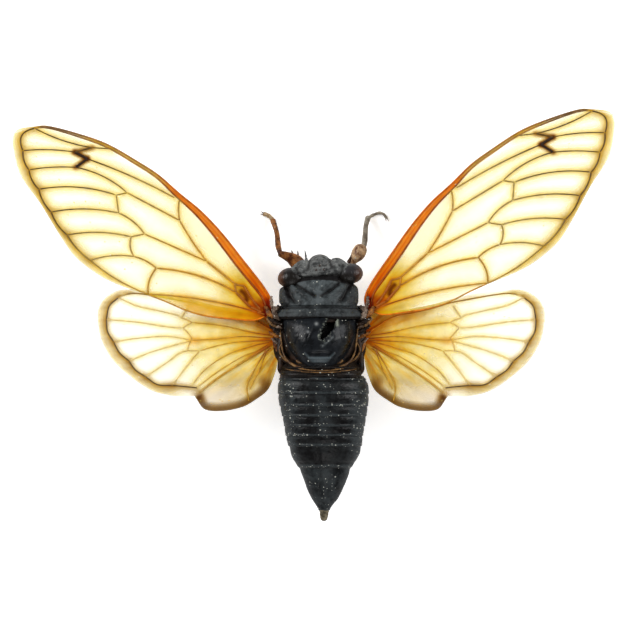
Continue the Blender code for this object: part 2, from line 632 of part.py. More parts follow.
HIND_VEINS = (
    ("edge1", "edge2", 5.8), ("edge2", "edge3", 3.2), ("edge3", "edge4", 2.8),
    ("edge4", "edge5", 2.5), ("edge5", "edge6", 4), ("edge6", "edge7", 0.5),
    ("root1", "front", 5), ("front", "edge1", 2.5), ("front", "zig1", 0), ("edge1", "zig1", 0),
    ("zig1", "zig2", 0), ("zig2", "zig3", 0), ("zig3", "zig4", 0), ("zig2", "root2", 1),
    ("edge2", "zig3", -1.5), ("edge3", "zig4", -2.5), ("edge4", "zig4", -2),
    ("zig4", "root3", 2), ("zig4", "zig5", 0), ("edge5", "zig5", -1.5), ("zig5", "zig6", 0),
    ("edge6", "zig6", -1), ("zig6", "root4", -1), ("edge7", "root4", -3), ("lobe2", "root5", -1),
    ("lobe1", "root5", 2),
)


def bowed(p, q, bow, step):
    """Points from p to q on a parabola that stands off its chord by bow, to the left."""
    p, q = np.array(p, float), np.array(q, float)
    chord = q - p
    length = np.linalg.norm(chord)
    t = np.linspace(0, 1, max(2, round(length / step) + 1))[:, None]
    left = np.array((chord[1], -chord[0])) / length
    return p + t * chord + 4 * bow * t * (1 - t) * left


def inside(p, rim):
    """Even-odd test of a point against a closed outline."""
    x, y = rim[:, 0], rim[:, 1]
    x2, y2 = np.roll(x, -1), np.roll(y, -1)
    crosses = (y > p[1]) != (y2 > p[1])
    at = x + (p[1] - y) * (x2 - x) / np.where(y2 == y, 1e-9, y2 - y)
    return bool(np.sum(crosses & (p[0] < at)) % 2)


def wing_plan(costa, margin, junctions, veins, band, step=VEIN_STEP):
    """Plan of a wing in picture points: the points, the lines that tie them, and how thick
    the wing is at each point."""
    rim = smooth_path(costa + margin + costa[:1], RIM_STEP)[:-1]
    costa_count = len(smooth_path(costa, RIM_STEP))
    points = list(rim)
    thick = [COSTA_THICK] * costa_count + [MEMBRANE] * (len(rim) - costa_count)
    lines = [(i, (i + 1) % len(rim)) for i in range(len(rim))]
    half = VEIN_HALF / SCALE

    def add(p, thickness):
        points.append(np.asarray(p, float))
        thick.append(thickness)
        return len(points) - 1

    named = {name: add(p, VEIN_THICK) for name, p in junctions.items()}
    centres = []
    chains = []
    for start, end, bow in veins:
        run = bowed(junctions[start], junctions[end], bow, step)
        ids = [named[start]] + [add(p, VEIN_THICK) for p in run[1:-1]] + [named[end]]
        lines += list(zip(ids, ids[1:]))
        chains.append(run)
        fine = bowed(junctions[start], junctions[end], bow, 3.0)
        centres.append(fine)
    rim_fine = smooth_path(costa + margin + costa[:1], 3.0)[:-1]

    def clear(p, own, reach):
        """True where p keeps off every other vein and the rim."""
        for k, fine in enumerate(centres):
            if k != own and np.min(np.hypot(*(fine - p).T)) < reach:
                return False
        return np.min(np.hypot(*(rim_fine - p).T)) >= 0.6 * reach

    if band:
        xs, widths = zip(*band)
        costal = smooth_path(costa, step)[1:]
        way = np.gradient(costal, axis=0)
        inward = np.column_stack([-way[:, 1], way[:, 0]])
        inward = inward / np.linalg.norm(inward, axis=1)[:, None]
        width = np.interp(costal[:, 0], xs, widths)[:, None]
        inner = costal + inward * width
        ids = []
        for p in inner:
            gaps = np.hypot(*(np.array(points) - p).T)
            near = int(np.argmin(gaps))
            if gaps[near] > 1.1 * half:
                ids.append(add(p, COSTA_THICK))
            elif near in named.values():
                ids.append(near)
                thick[near] = COSTA_THICK
        lines += list(zip(ids, ids[1:]))
        centres.append(inner)
        chains.append(inner)
    for own, run in enumerate(chains):
        way = np.gradient(run, axis=0)
        left = np.column_stack([way[:, 1], -way[:, 0]])
        left = left / np.linalg.norm(left, axis=1)[:, None]
        for side in (-1, 1) if own < len(veins) else (-1,):
            last = None
            for p in run + side * half * left:
                if not inside(p, rim_fine):
                    continue
                near = np.min(np.hypot(*(np.array(points) - p).T))
                if near < 0.7 * half or not clear(p, own, 0.85 * half):
                    last = None
                    continue
                this = add(p, MEMBRANE)
                if last is not None:
                    lines.append((last, this))
                last = this
    low, high = np.min(points, axis=0), np.max(points, axis=0)
    for row, y in enumerate(np.arange(low[1], high[1], FILL * 0.866)):
        for x in np.arange(low[0] + (row % 2) * FILL / 2, high[0], FILL):
            near = np.min(np.hypot(*(np.array(points) - (x, y)).T))
            if near > 0.45 * FILL and inside((x, y), rim_fine):
                add((x, y), MEMBRANE)
    return np.array(points), lines, np.array(thick)


def to_world(points, hinge, left_hinge=None, droop=0.0):
    """Plan points to the object's frame. A left wing is the right one mirrored at its hinge,
    set on the left hinge and turned back by its droop."""
    p = np.array(points, float)
    if left_hinge is not None:
        across, down = (hinge[0] - p[:, 0]), (p[:, 1] - hinge[1])
        c, s = math.cos(droop), math.sin(droop)
        p = np.array(left_hinge) + np.column_stack([c * across + s * down,
                                                    -s * across + c * down])
    x = (p[:, 0] - PLAN_CENTRE[0]) * SCALE
    y = (PLAN_CENTRE[1] - p[:, 1]) * SCALE
    return np.column_stack([x, y])


def fore_height(local):
    """Height of the forewing's middle sheet: a rise outwards and a low arch across it."""
    u = ((local[:, 0] - FORE_HINGE[0]) * 0.786 - (local[:, 1] - FORE_HINGE[1]) * 0.618) * SCALE
    v = (-(local[:, 0] - FORE_HINGE[0]) * 0.618 - (local[:, 1] - FORE_HINGE[1]) * 0.786) * SCALE
    out = (local[:, 0] - FORE_HINGE[0]) * SCALE
    arch = 0.45 * np.clip(1 - ((v + 0.8) / 6.0) ** 2, 0, 1) * np.clip(u / 8.0, 0, 1)
    return FORE_Z + WING_RISE * out + arch


def hind_height(local):
    """Height of the hindwing's middle sheet: the same rise, the rear lobe bent down a little."""
    out = (local[:, 0] - FORE_HINGE[0]) * SCALE
    rear = np.clip((local[:, 1] - 350.0) * SCALE / 6.0, 0, 1)
    return HIND_Z + WING_RISE * out - 0.5 * rear ** 2


def wing(name, plan, height, mat, root, hinge, left_hinge=None, droop=0.0):
    """Sheet over the plan, thickened along the veins, with the root fused on."""
    points, lines, thick = plan
    flat = [Vector(p) for p in points]
    verts, _, faces, origins, _, _ = delaunay_2d_cdt(flat, lines, [], 1, 1e-5)
    local = np.array([(v.x, v.y) for v in verts])
    level = np.array([max([thick[i] for i in ids], default=MEMBRANE) for ids in origins])
    world = np.column_stack([to_world(local, hinge, left_hinge, droop), height(local)]) * MM
    mesh = bpy.data.meshes.new(name)
    mesh.from_pydata([tuple(p) for p in world], [], faces)
    sheet = add_object(name, mesh, parts, mat)
    bm = bmesh.new()
    bm.from_mesh(mesh)
    bmesh.ops.recalc_face_normals(bm, faces=bm.faces)
    bm.to_mesh(mesh)
    bm.free()
    group = sheet.vertex_groups.new(name="thickness")
    for value in np.unique(level):
        ids = [int(i) for i in np.flatnonzero(level == value)]
        group.add(ids, float(value / COSTA_THICK), "REPLACE")
    solid = sheet.modifiers.new("thickness", "SOLIDIFY")
    solid.thickness = COSTA_THICK * MM
    solid.offset = 0.0
    solid.vertex_group = group.name
    apply_modifiers(sheet)
    fuse(sheet, [root])
    return finish(sheet, 35)


fore_plan = wing_plan(FORE_COSTA, FORE_MARGIN, FORE_JUNCTIONS, FORE_VEINS, COSTA_BAND)
hind_plan = wing_plan(HIND_COSTA, HIND_MARGIN, HIND_JUNCTIONS, HIND_VEINS, None)
for side, name in ((-1, "left"), (1, "right")):
    left = side < 0
    amber = material("wing_amber_" + name, AMBER, 0.35)
    inner = BODY_X + side * (WING_ROOT_X - 0.35)
    y, z = FORE_ROOT
    line = [(inner, y, z), (inner + side * 0.5, y + 0.3, z + 0.05),
            (inner + side * 1.1, y + 1.2, FORE_Z), (inner + side * 1.8, y + 2.2, FORE_Z + 0.1)]
    root = tube("root", line, (0.68, 0.66, 0.6, 0.45), scrap, sides=10)
    wing("forewing_" + name, fore_plan, fore_height, amber, root, FORE_HINGE,
         FORE_HINGE_LEFT if left else None, FORE_DROOP)
    x, y = to_world([HIND_HINGE_LEFT if left else HIND_HINGE], HIND_HINGE)[0]
    end = META_X + side * SHOULDER_X
    line = [(x, y, HIND_Z), (x, y - 0.5, HIND_Z), (x - side * 0.1, y - 1.6, HIND_Z),
            (end + side * 0.05, SHOULDER_Y + GAP + 0.4, HIND_Z), (end, SHOULDER_Y + GAP, HIND_Z)]
    root = tube("root", line, (0.28, 0.4, 0.42, 0.4, 0.4), scrap, sides=10)
    deep = material("hindwing_amber_" + name, AMBER_DEEP, 0.35)
    wing("hindwing_" + name, hind_plan, hind_height, deep, root, HIND_HINGE,
         HIND_HINGE_LEFT if left else None)

bpy.data.collections.remove(scrap)
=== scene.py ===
"""Looks of a dried, spread periodical cicada, life size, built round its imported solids.

The head points along +Y and the animal's right side along +X. Lengths are millimetres until a
mesh is made, and the floor is z = 0.
"""
import math

import bmesh
import bpy
import numpy as np
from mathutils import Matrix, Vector


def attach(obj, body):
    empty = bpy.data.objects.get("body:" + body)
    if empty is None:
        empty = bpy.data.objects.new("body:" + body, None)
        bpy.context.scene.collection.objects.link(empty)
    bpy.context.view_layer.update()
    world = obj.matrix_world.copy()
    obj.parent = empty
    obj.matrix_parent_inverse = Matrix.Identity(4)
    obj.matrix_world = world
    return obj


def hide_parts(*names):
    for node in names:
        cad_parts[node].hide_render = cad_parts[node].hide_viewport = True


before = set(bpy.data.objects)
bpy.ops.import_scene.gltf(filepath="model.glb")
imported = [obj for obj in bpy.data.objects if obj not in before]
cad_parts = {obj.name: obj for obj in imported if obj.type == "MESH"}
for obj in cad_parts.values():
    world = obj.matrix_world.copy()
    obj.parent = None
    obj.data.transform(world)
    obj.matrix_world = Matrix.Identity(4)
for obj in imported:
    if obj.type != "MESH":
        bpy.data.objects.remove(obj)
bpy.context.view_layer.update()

# The sheet of white card that the specimen lies on, the soft lamps over it, and the camera,
# which looks straight down through a long lens. The card is lit to a clean white.
MM = 0.001
PHOTO_WIDTH = 70.3             # width of the picture at the height of the wings
PHOTO_MIDDLE = (0.544, -0.703)
WING_LEVEL = 8.0
LENS = 500.0
SENSOR = 36.0
HALF_CARD = 1.2                # metres
CARD_GLOW = 0.5                # light that the card adds for the camera alone
ROOM_LIGHT = 0.14

scene = bpy.context.scene
scene.view_settings.view_transform = "Standard"
scene.view_settings.look = "None"

card_mesh = bpy.data.meshes.new("card")
card_mesh.from_pydata([(x * HALF_CARD, y * HALF_CARD, 0)
                       for x, y in ((-1, -1), (1, -1), (1, 1), (-1, 1))], [], [(0, 1, 2, 3)])
card = bpy.data.objects.new("card", card_mesh)
scene.collection.objects.link(card)
card_white = bpy.data.materials.new("card_white")
card_white.use_nodes = True
tree = card_white.node_tree
shader = tree.nodes["Principled BSDF"]
for label, value in (("Base Color", (0.92, 0.92, 0.92, 1)), ("Roughness", 0.85),
                     ("Specular IOR Level", 0.2), ("Emission Color", (1, 1, 1, 1))):
    shader.inputs[label].default_value = value
light_path = tree.nodes.new("ShaderNodeLightPath")
glow = tree.nodes.new("ShaderNodeMath")
glow.operation = "MULTIPLY"
glow.inputs[1].default_value = CARD_GLOW
tree.links.new(light_path.outputs["Is Camera Ray"], glow.inputs[0])
tree.links.new(glow.outputs[0], shader.inputs["Emission Strength"])
card_mesh.materials.append(card_white)

world = bpy.data.worlds.new("studio")
scene.world = world
world.use_nodes = True
sky = world.node_tree.nodes["Background"]
sky.inputs["Color"].default_value = (0.96, 0.98, 1.0, 1)
sky.inputs["Strength"].default_value = ROOM_LIGHT


def lamp(name, place, size, power):
    """Square soft lamp that faces the specimen."""
    data = bpy.data.lights.new(name, "AREA")
    data.size = size
    data.energy = power
    lamp_object = bpy.data.objects.new(name, data)
    lamp_object.location = place
    lamp_object.rotation_mode = "QUATERNION"
    lamp_object.rotation_quaternion = Vector(place).to_track_quat("Z", "Y")
    scene.collection.objects.link(lamp_object)


lamp("window", (-0.34, 0.14, 0.24), 0.24, 1.9)
lamp("second", (0.34, 0.10, 0.24), 0.24, 1.5)
lamp("rear", (0.02, -0.34, 0.26), 0.20, 0.40)

lens = bpy.data.cameras.new("lens")
lens.lens = LENS
lens.sensor_width = SENSOR
lens.clip_start = 0.05
lens.clip_end = 10.0
camera = bpy.data.objects.new("camera", lens)
camera.location = (PHOTO_MIDDLE[0] * MM, PHOTO_MIDDLE[1] * MM,
                   (PHOTO_WIDTH / SENSOR * LENS + WING_LEVEL) * MM)
scene.collection.objects.link(camera)
scene.camera = camera


# The forewings' membranes: clear horny film, cream in the cells, amber at the root, orange in
# the costal band, and edged outside the last vein with a tan strip. Each is one thin shell.
SCALE = 29.2 / 265.8           # millimetres to a point of the wing plans
PLAN_CENTRE = (315.05, 313.6)
FILM = 0.05                    # thickness of the film
FORE_Z = 7.4
FORE_ARCH = 0.45
WING_RISE = math.tan(math.radians(3.0))
WING_WAY = (0.786, -0.618)     # the forewing's length in the plan
SIDES = ((-1, "left"), (1, "right"))
FORE_HINGE = (368.0, 306.0)
FORE_HINGE_LEFT = (269.0, 310.6)
FORE_DROOP = math.radians(3.16)  # the left forewing is spread a little lower
FORE_COSTA = ((364.8, 308), (364.4, 296), (371.9, 280.6), (390.3, 254), (410.6, 225.3),
              (430.5, 202), (450.4, 183.8), (470.4, 164.2), (490.4, 149.6), (520.3, 130.3),
              (550.2, 118), (577.8, 109.5), (591.4, 109.3), (606.2, 110.6), (612.6, 114.6))
FORE_MARGIN = ((364.8, 308), (371.6, 312), (384, 315.6), (404.6, 313.2), (429.5, 309.2),
               (449.5, 302.6), (469.5, 292.6), (488, 284.2), (519.3, 271.1), (539, 259.2),
               (558.6, 241.6), (572.3, 220), (590.3, 186.6), (602.3, 168.6), (610.3, 152.7),
               (614.7, 126), (612.6, 114.6))
FORE_JUNCTIONS = {
    "tip1": (591.5, 111.3), "tip2": (604.5, 133), "tip3": (599.5, 152.4), "tip4": (590.8, 172.3),
    "tip5": (579.8, 195.7), "tip6": (565.2, 219.4), "tip7": (543.4, 246), "heel": (487.8, 283),
    "w1": (535.3, 133.7), "w2": (553, 137.2), "w3": (540.8, 144.6), "w4": (553, 152.4),
    "costa": (516, 136), "fork1": (503, 180.6), "fork2": (514, 182.4), "fork3": (512.6, 200.4),
    "mid1": (488, 222.6), "mid2": (501.4, 224.8), "mid3": (499.6, 244.7), "rear": (478, 257.6),
    "inner1": (452.2, 211.1), "inner2": (427.3, 253.4), "node1": (455.5, 188.5),
    "node2": (451.5, 191), "arch1": (401, 277), "arch2": (400, 285.8), "root1": (386.5, 301.5),
    "root2": (380, 307), "stem": (391.5, 279.8), "stem_root": (376.5, 304.5),
    "cell_root": (376, 307.5), "rear_root": (372.5, 309.5),
}
FORE_VEINS = (  # from, to, bow to the left of the way, half width in millimetres
    ("tip1", "tip2", 8, 0.09), ("tip2", "tip3", 2, 0.09), ("tip3", "tip4", 2, 0.09),
    ("tip4", "tip5", 2, 0.09), ("tip5", "tip6", 2, 0.09), ("tip6", "tip7", 2, 0.09),
    ("tip7", "heel", 3, 0.08), ("tip1", "w1", 2.6, 0.08), ("w1", "costa", 0, 0.07),
    ("w1", "w2", 0, 0.10), ("w2", "w3", 0, 0.17), ("w3", "w4", 0, 0.15),
    ("tip2", "w2", -1.7, 0.075), ("w3", "node1", -2, 0.085), ("tip3", "w4", -1.3, 0.075),
    ("w4", "fork1", -4, 0.08), ("tip4", "fork2", -5, 0.08), ("fork2", "fork1", 0, 0.08),
    ("fork2", "fork3", 0, 0.08), ("tip5", "fork3", -3.6, 0.08), ("fork3", "mid1", -2.5, 0.085),
    ("tip6", "mid2", -3.5, 0.08), ("mid2", "mid1", 0, 0.08), ("mid2", "mid3", 2.4, 0.085),
    ("tip7", "mid3", -2.8, 0.08), ("mid3", "rear", -1.7, 0.09), ("rear", "heel", 3, 0.10),
    ("rear", "arch2", -5, 0.11), ("fork1", "inner1", 0, 0.09), ("mid1", "inner2", 0, 0.085),
    ("inner2", "arch1", 0, 0.12), ("inner1", "inner2", 1, 0.09), ("node2", "inner1", 1, 0.09),
    ("heel", "root2", -3.7, 0.09), ("arch1", "arch2", 0, 0.12), ("arch2", "root1", 0, 0.16),
    ("arch1", "stem", 0.5, 0.13), ("stem", "stem_root", 1.2, 0.14),
    ("root1", "cell_root", -0.6, 0.16), ("root2", "rear_root", 0, 0.11),
)
COSTAL_WIDTHS = ((365, 7.5), (385, 9.5), (405, 9.3), (440, 6), (470, 3.8), (545, 3.4), (592, 1.8))
FORE_ROOT = (372, 300)         # where the colours of the root spread from
RAY_CENTRE = (360, 308)        # where the rays of the root meet
BAND_TURN = (476, 452)         # where the costal band goes from orange to amber
STIGMA = (520, 556)            # where its dark end begins
STIGMA_END = (570, 592)
ROOT_STREAK = ((1, (366, 297), (384, 300), -1, 4.2),)   # strength, two ends, bow, width
AMBER_STREAKS = ((1.3, (370, 300), (400, 281), 0, 13), (0.9, (368, 308), (396, 312), 0, 14))
ORANGE_STREAKS = ((0.6, (368, 306), (380, 308), 0, 5.0),)
BROWN_HOOK = ((389.5, 294), (394.5, 285))
AMBER_SPOTS = ((1.6, 385, 285, 21),)                    # strength, place, width
BROWN_SPOTS = ((1.3, 367, 307, 9), (0.55, 377, 300, 11), (0.9, 372, 311, 6.5))
BROWN_CORNERS = ("tip2", "tip3", "tip4", "tip5", "tip6", "tip7", "heel")
BROWN_VEINS = (("w1", "w2", 1.7), ("w2", "w3", 2.9), ("w3", "w4", 2.5))
AMBER_TAKES = np.array((0.105, 0.262, 1.05))   # light taken by a unit of each colouring matter
ORANGE_TAKES = np.array((0.08, 0.57, 1.50))
BROWN_TAKES = np.array((0.55, 0.85, 1.30))


def curve_through(points, count):
    """Catmull-Rom curve through the points: each stretch is the cubic that meets its two ends
    at the slope of their neighbours. It is read at count places evenly spaced along it."""
    p = np.asarray(points, float)
    ends = np.vstack([2 * p[0] - p[1], p, 2 * p[-1] - p[-2]])
    way = np.linspace(0, len(p) - 1, 30 * (len(p) - 1) + 1)
    i = np.minimum(way.astype(int), len(p) - 2)
    t = (way - i)[:, None]
    a, b, c, d = ends[i], ends[i + 1], ends[i + 2], ends[i + 3]
    q = 0.5 * (2 * b + (c - a) * t + (2 * a - 5 * b + 4 * c - d) * t ** 2
               + (3 * b - a - 3 * c + d) * t ** 3)
    run = np.concatenate([[0], np.cumsum(np.linalg.norm(np.diff(q, axis=0), axis=1))])
    at = np.linspace(0, run[-1], count)
    return np.column_stack([np.interp(at, run, q[:, k]) for k in range(q.shape[1])])


def bowed(p, q, bow, count):
    """Parabola from p to q that stands off its chord by bow, to the left."""
    p, q = np.array(p, float), np.array(q, float)
    chord = q - p
    t = np.linspace(0, 1, count)[:, None]
    left = np.array((chord[1], -chord[0])) / np.linalg.norm(chord)
    return p + t * chord + 4 * bow * t * (1 - t) * left


def distance_to(points, line):
    """Distance of each point of a grid from a polyline: the least over its straight pieces,
    each clamped to its own length."""
    flat = points.reshape(-1, 2)
    best = np.full(len(flat), 1e9)
    for a, b in zip(line[:-1], line[1:]):
        way = b - a
        t = np.clip(((flat - a) @ way) / max(way @ way, 1e-9), 0, 1)
        best = np.minimum(best, np.hypot(*(flat - a - t[:, None] * way).T))
    return best.reshape(points.shape[:-1])


def to_world(points, hinge, left_hinge=None, droop=0.0):
    """Plan points to the object's frame. A left wing is the right one mirrored at its hinge,
    set on the left hinge and turned back by its droop."""
    p = np.array(points, float)
    if left_hinge is not None:
        across, down = hinge[0] - p[..., 0], p[..., 1] - hinge[1]
        c, s = math.cos(droop), math.sin(droop)
        p = np.stack([left_hinge[0] + c * across + s * down,
                      left_hinge[1] - s * across + c * down], axis=-1)
    return np.stack([(p[..., 0] - PLAN_CENTRE[0]) * SCALE,
                     (PLAN_CENTRE[1] - p[..., 1]) * SCALE], axis=-1)


def along_wing(plan):
    """Millimetres from the hinge towards the tip, along the forewing's length."""
    return ((plan[..., 0] - FORE_HINGE[0]) * WING_WAY[0]
            + (plan[..., 1] - FORE_HINGE[1]) * WING_WAY[1]) * SCALE


def fore_height(plan):
    """Height of the forewing's middle: it rises outwards and is arched a little across."""
    across = ((plan[..., 0] - FORE_HINGE[0]) * WING_WAY[1]
              - (plan[..., 1] - FORE_HINGE[1]) * WING_WAY[0]) * SCALE
    arch = np.clip(1 - ((across + 0.8) / 6.0) ** 2, 0, 1) * np.clip(along_wing(plan) / 8.0, 0, 1)
    return FORE_Z + WING_RISE * (plan[..., 0] - FORE_HINGE[0]) * SCALE + FORE_ARCH * arch


def ruled(front, rear, across):
    """Grid between two curves of equal count: straight lines from each point of the front
    curve to the same point of the rear one."""
    v = np.linspace(0, 1, across)[None, :, None]
    return front[:, None, :] * (1 - v) + rear[:, None, :] * v


def new_piece(name, verts, faces):
    """Mesh object from arrays of corners, in millimetres, and faces, with its doubles merged
    and its faces turned outwards."""
    mesh = bpy.data.meshes.new(name)
    mesh.from_pydata((verts * MM).tolist(), [], faces.tolist())
    bm = bmesh.new()
    bm.from_mesh(mesh)
    bmesh.ops.remove_doubles(bm, verts=bm.verts, dist=2e-7)
    bmesh.ops.recalc_face_normals(bm, faces=bm.faces)
    bm.to_mesh(mesh)
    bm.free()
    mesh.shade_smooth()
    piece = bpy.data.objects.new(name, mesh)
    scene.collection.objects.link(piece)
    return piece


def quads(rows, columns, wrap):
    """Faces of a grid of rows by columns: each joins a corner to its next in both ways, and
    the last column to the first where the grid wraps round."""
    r, c = np.meshgrid(np.arange(rows - 1), np.arange(columns if wrap else columns - 1),
                       indexing="ij")
    right = (c + 1) % columns
    return np.stack([r * columns + c, r * columns + right, (r + 1) * columns + right,
                     (r + 1) * columns + c], axis=-1).reshape(-1, 4)


def film_shell(name, plan, middle, place):
    """Closed thin shell over a plan grid: an upper and a lower copy of the middle sheet, half
    the film's thickness from it, that meet round the edge."""
    rows, columns = middle.shape
    rim = np.minimum(np.arange(columns), columns - 1 - np.arange(columns))
    half = 0.5 * FILM * np.clip(rim / 2.0, 0, 1) + 0 * middle
    half[[0, -1], :] = 0
    sheets = [np.dstack([place(plan), middle + way * half]).reshape(-1, 3) for way in (1, -1)]
    faces = quads(rows, columns, False)
    return new_piece(name, np.vstack(sheets), np.vstack([faces, faces[:, ::-1] + rows * columns]))


def near_line(distance, width):
    """One on a line and nothing far from it: a bell of the given width."""
    return np.exp(-(distance / width) ** 2)


def corner_places(piece):
    """Places of a piece's corners, in millimetres."""
    co = np.empty(len(piece.data.vertices) * 3)
    piece.data.vertices.foreach_get("co", co)
    return co.reshape(-1, 3) / MM


def carry(piece, name, places, values, step, weights, strict=False):
    """Give each corner of a piece the value of the grid point at its place, as an attribute.
    Places are counted in steps and made one whole number each by the weights, which is looked
    up in the sorted grid. If strict, a corner that stands on no grid point gets nothing."""
    weights = np.array(weights, dtype=np.int64)
    code = np.round(places.reshape(-1, len(weights)) / step).astype(np.int64) @ weights
    ask = np.round(corner_places(piece)[:, :len(weights)] / step).astype(np.int64) @ weights
    order = np.argsort(code)
    found = order[np.clip(np.searchsorted(code[order], ask), 0, len(code) - 1)]
    colour = values.reshape(-1, 4)[found]
    if strict:
        colour = np.where((code[found] == ask)[:, None], colour, 0.0)
    layer = piece.data.attributes.new(name, "FLOAT_COLOR", "POINT")
    layer.data.foreach_set("color", colour.astype(np.float32).ravel())


def give(piece, mat, slot, *nodes):
    """Put the material on a piece, hang it on the root body and hide the solids it stands for. The
    slot is not used.
    """
    piece.data.materials.append(mat)
    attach(piece, "root")
    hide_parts(*nodes)
    return piece


def film_colour(takes):
    """Paint and cover of the film from the light that its colouring matter takes: what comes
    through is e to the minus of that. The cover hides all of the white below but the blue
    share that comes through, and the two faces of the shell share it."""
    through = np.exp(-takes)
    cover = 1 - 0.9 * through[..., 2]
    paint = (through - (1 - cover)[..., None]) / cover[..., None]
    single = 1 - np.sqrt(1 - cover)
    return np.concatenate([np.clip(paint, 0, 1), single[..., None]], axis=-1)


def node_group(name, inputs, outputs):
    """Empty shader node group with named inputs (label, kind, value) and outputs."""
    group = bpy.data.node_groups.new(name, "ShaderNodeTree")
    for label, kind, value in inputs:
        socket = group.interface.new_socket(name=label, in_out="INPUT", socket_type=kind)
        socket.default_value = value
    for label, kind in outputs:
        group.interface.new_socket(name=label, in_out="OUTPUT", socket_type=kind)
    return group, group.nodes.new("NodeGroupInput"), group.nodes.new("NodeGroupOutput")


def material_of(name, roughness):
    """Material with its shader and Object coordinates at hand."""
    mat = bpy.data.materials.new(name)
    mat.use_nodes = True
    tree = mat.node_tree
    surface = tree.nodes["Principled BSDF"]
    surface.inputs["Roughness"].default_value = roughness
    return mat, tree, surface, tree.nodes.new("ShaderNodeTexCoord").outputs["Object"]


def add_node(tree, kind, settings=(), **links):
    """Node with its named settings, and its inputs linked or set, by label or by _number."""
    node = tree.nodes.new(kind)
    for key, value in dict(settings).items():
        setattr(node, key, value)
    for key, value in links.items():
        socket = node.inputs[int(key[1:]) if key[1:].isdigit() else key]
        if isinstance(value, bpy.types.NodeSocket):
            tree.links.new(value, socket)
        else:
            socket.default_value = value
    return node


def figure(tree, operation, *values, clamp=False):
    """Result of a sum on up to three values."""
    return add_node(tree, "ShaderNodeMath", {"operation": operation, "use_clamp": clamp},
                    **{"_%d" % k: value for k, value in enumerate(values)}).outputs[0]


def fit_range(tree, value, low=0.0, high=1.0, to_low=0.0, to_high=1.0):
    """Value brought from one range to another."""
    return add_node(tree, "ShaderNodeMapRange", _0=value, _1=low, _2=high, _3=to_low,
                    _4=to_high).outputs[0]


def noise(tree, place, scale, detail=2.0, **more):
    """Cloudy noise of a given fineness."""
    return add_node(tree, "ShaderNodeTexNoise", Vector=place, Scale=scale, Detail=detail,
                    **more).outputs[0]


def lay_between(tree, share, low, high):
    """Colour between two by a share."""
    mix = add_node(tree, "ShaderNodeMix", {"data_type": "RGBA"}, _0=share, _6=low, _7=high)
    return mix.outputs[2]


def read_attribute(tree, name):
    """Reader of a piece's own attribute."""
    return add_node(tree, "ShaderNodeAttribute", {"attribute_name": name}).outputs


def painted(tree, surface, share):
    """The piece's own paint, made lighter or darker by a share, as the surface's colour."""
    paint = read_attribute(tree, "paint")
    tinted = add_node(tree, "ShaderNodeVectorMath", {"operation": "SCALE"}, Vector=paint["Color"],
                      Scale=share)
    tree.links.new(tinted.outputs[0], surface.inputs["Base Color"])
    return paint


def emboss(tree, surface, strength, depth, height):
    """Relief in the surface's normal."""
    bump = add_node(tree, "ShaderNodeBump", Strength=strength, Distance=depth, Height=height)
    tree.links.new(bump.outputs[0], surface.inputs["Normal"])


wrinkle, group_in, group_out = node_group(
    "film_wrinkles", (("Vector", "NodeSocketVector", (0, 0, 0)),),
    (("Height", "NodeSocketFloat"), ("Mottle", "NodeSocketFloat")))
place_in = group_in.outputs["Vector"]
crumple = add_node(wrinkle, "ShaderNodeTexVoronoi", {"feature": "SMOOTH_F1"}, Vector=place_in,
                   Scale=1500.0, Smoothness=0.6)
wrinkle.links.new(figure(wrinkle, "MULTIPLY_ADD", crumple.outputs["Distance"], 0.35,
                         noise(wrinkle, place_in, 420.0, 3.0, Distortion=1.4)),
                  group_out.inputs["Height"])
wrinkle.links.new(noise(wrinkle, place_in, 900.0, 4.0), group_out.inputs["Mottle"])


def film_material(name):
    """Film: painted by its attribute, with mottled paint, fine wrinkles and a soft gloss."""
    mat, tree, surface, place = material_of(name, 0.3)
    surface.inputs["Specular IOR Level"].default_value = 0.12
    texture = add_node(tree, "ShaderNodeGroup", {"node_tree": wrinkle}, Vector=place).outputs
    paint = painted(tree, surface, fit_range(tree, texture["Mottle"], 0.3, 0.75, 0.86, 1.12))
    tree.links.new(paint["Alpha"], surface.inputs["Alpha"])
    emboss(tree, surface, 0.55, 0.00006, texture["Height"])
    mat.surface_render_method = "BLENDED"
    return mat


def lay_film(wing, plan, middle, place_of, left_paint, right_paint):
    """The film of both wings of a pair: a shell over the plan, painted from its grid."""
    mat = film_material(wing + "_film")
    for (side, name), paint in zip(SIDES, (left_paint, right_paint)):
        place = place_of(side)
        film = film_shell("%s_film_%s" % (wing, name), plan, middle, place)
        carry(film, "paint", place(plan), paint, 1e-4, (2_000_003, 1))
        give(film, mat, "wing_amber", "%s_%s" % (wing, name))


FORE_ROWS, FORE_ACROSS = 300, 110   # points along the film and across it
fore_plan = ruled(curve_through(FORE_COSTA, FORE_ROWS), curve_through(FORE_MARGIN, FORE_ROWS),
                  FORE_ACROSS)
fore_lines = [bowed(FORE_JUNCTIONS[a], FORE_JUNCTIONS[b], bow, 14) for a, b, bow, _ in FORE_VEINS]
fore_near = np.min([distance_to(fore_plan, line) for line in fore_lines], axis=0)
fore_border = distance_to(fore_plan, np.vstack(fore_lines[:7]))
costal_from = distance_to(fore_plan, curve_through(FORE_COSTA[:13], 120))
x_plan, y_plan = fore_plan[..., 0], fore_plan[..., 1]
costal_width = np.interp(x_plan, *np.array(COSTAL_WIDTHS).T)
from_hinge = np.hypot(x_plan - FORE_ROOT[0], y_plan - FORE_ROOT[1])
out_along = along_wing(fore_plan)


def soft_step(x, low, high):
    """Nothing below low, one above high, and 3t^2 - 2t^3 between."""
    t = np.clip((x - low) / (high - low), 0, 1)
    return t * t * (3 - 2 * t)


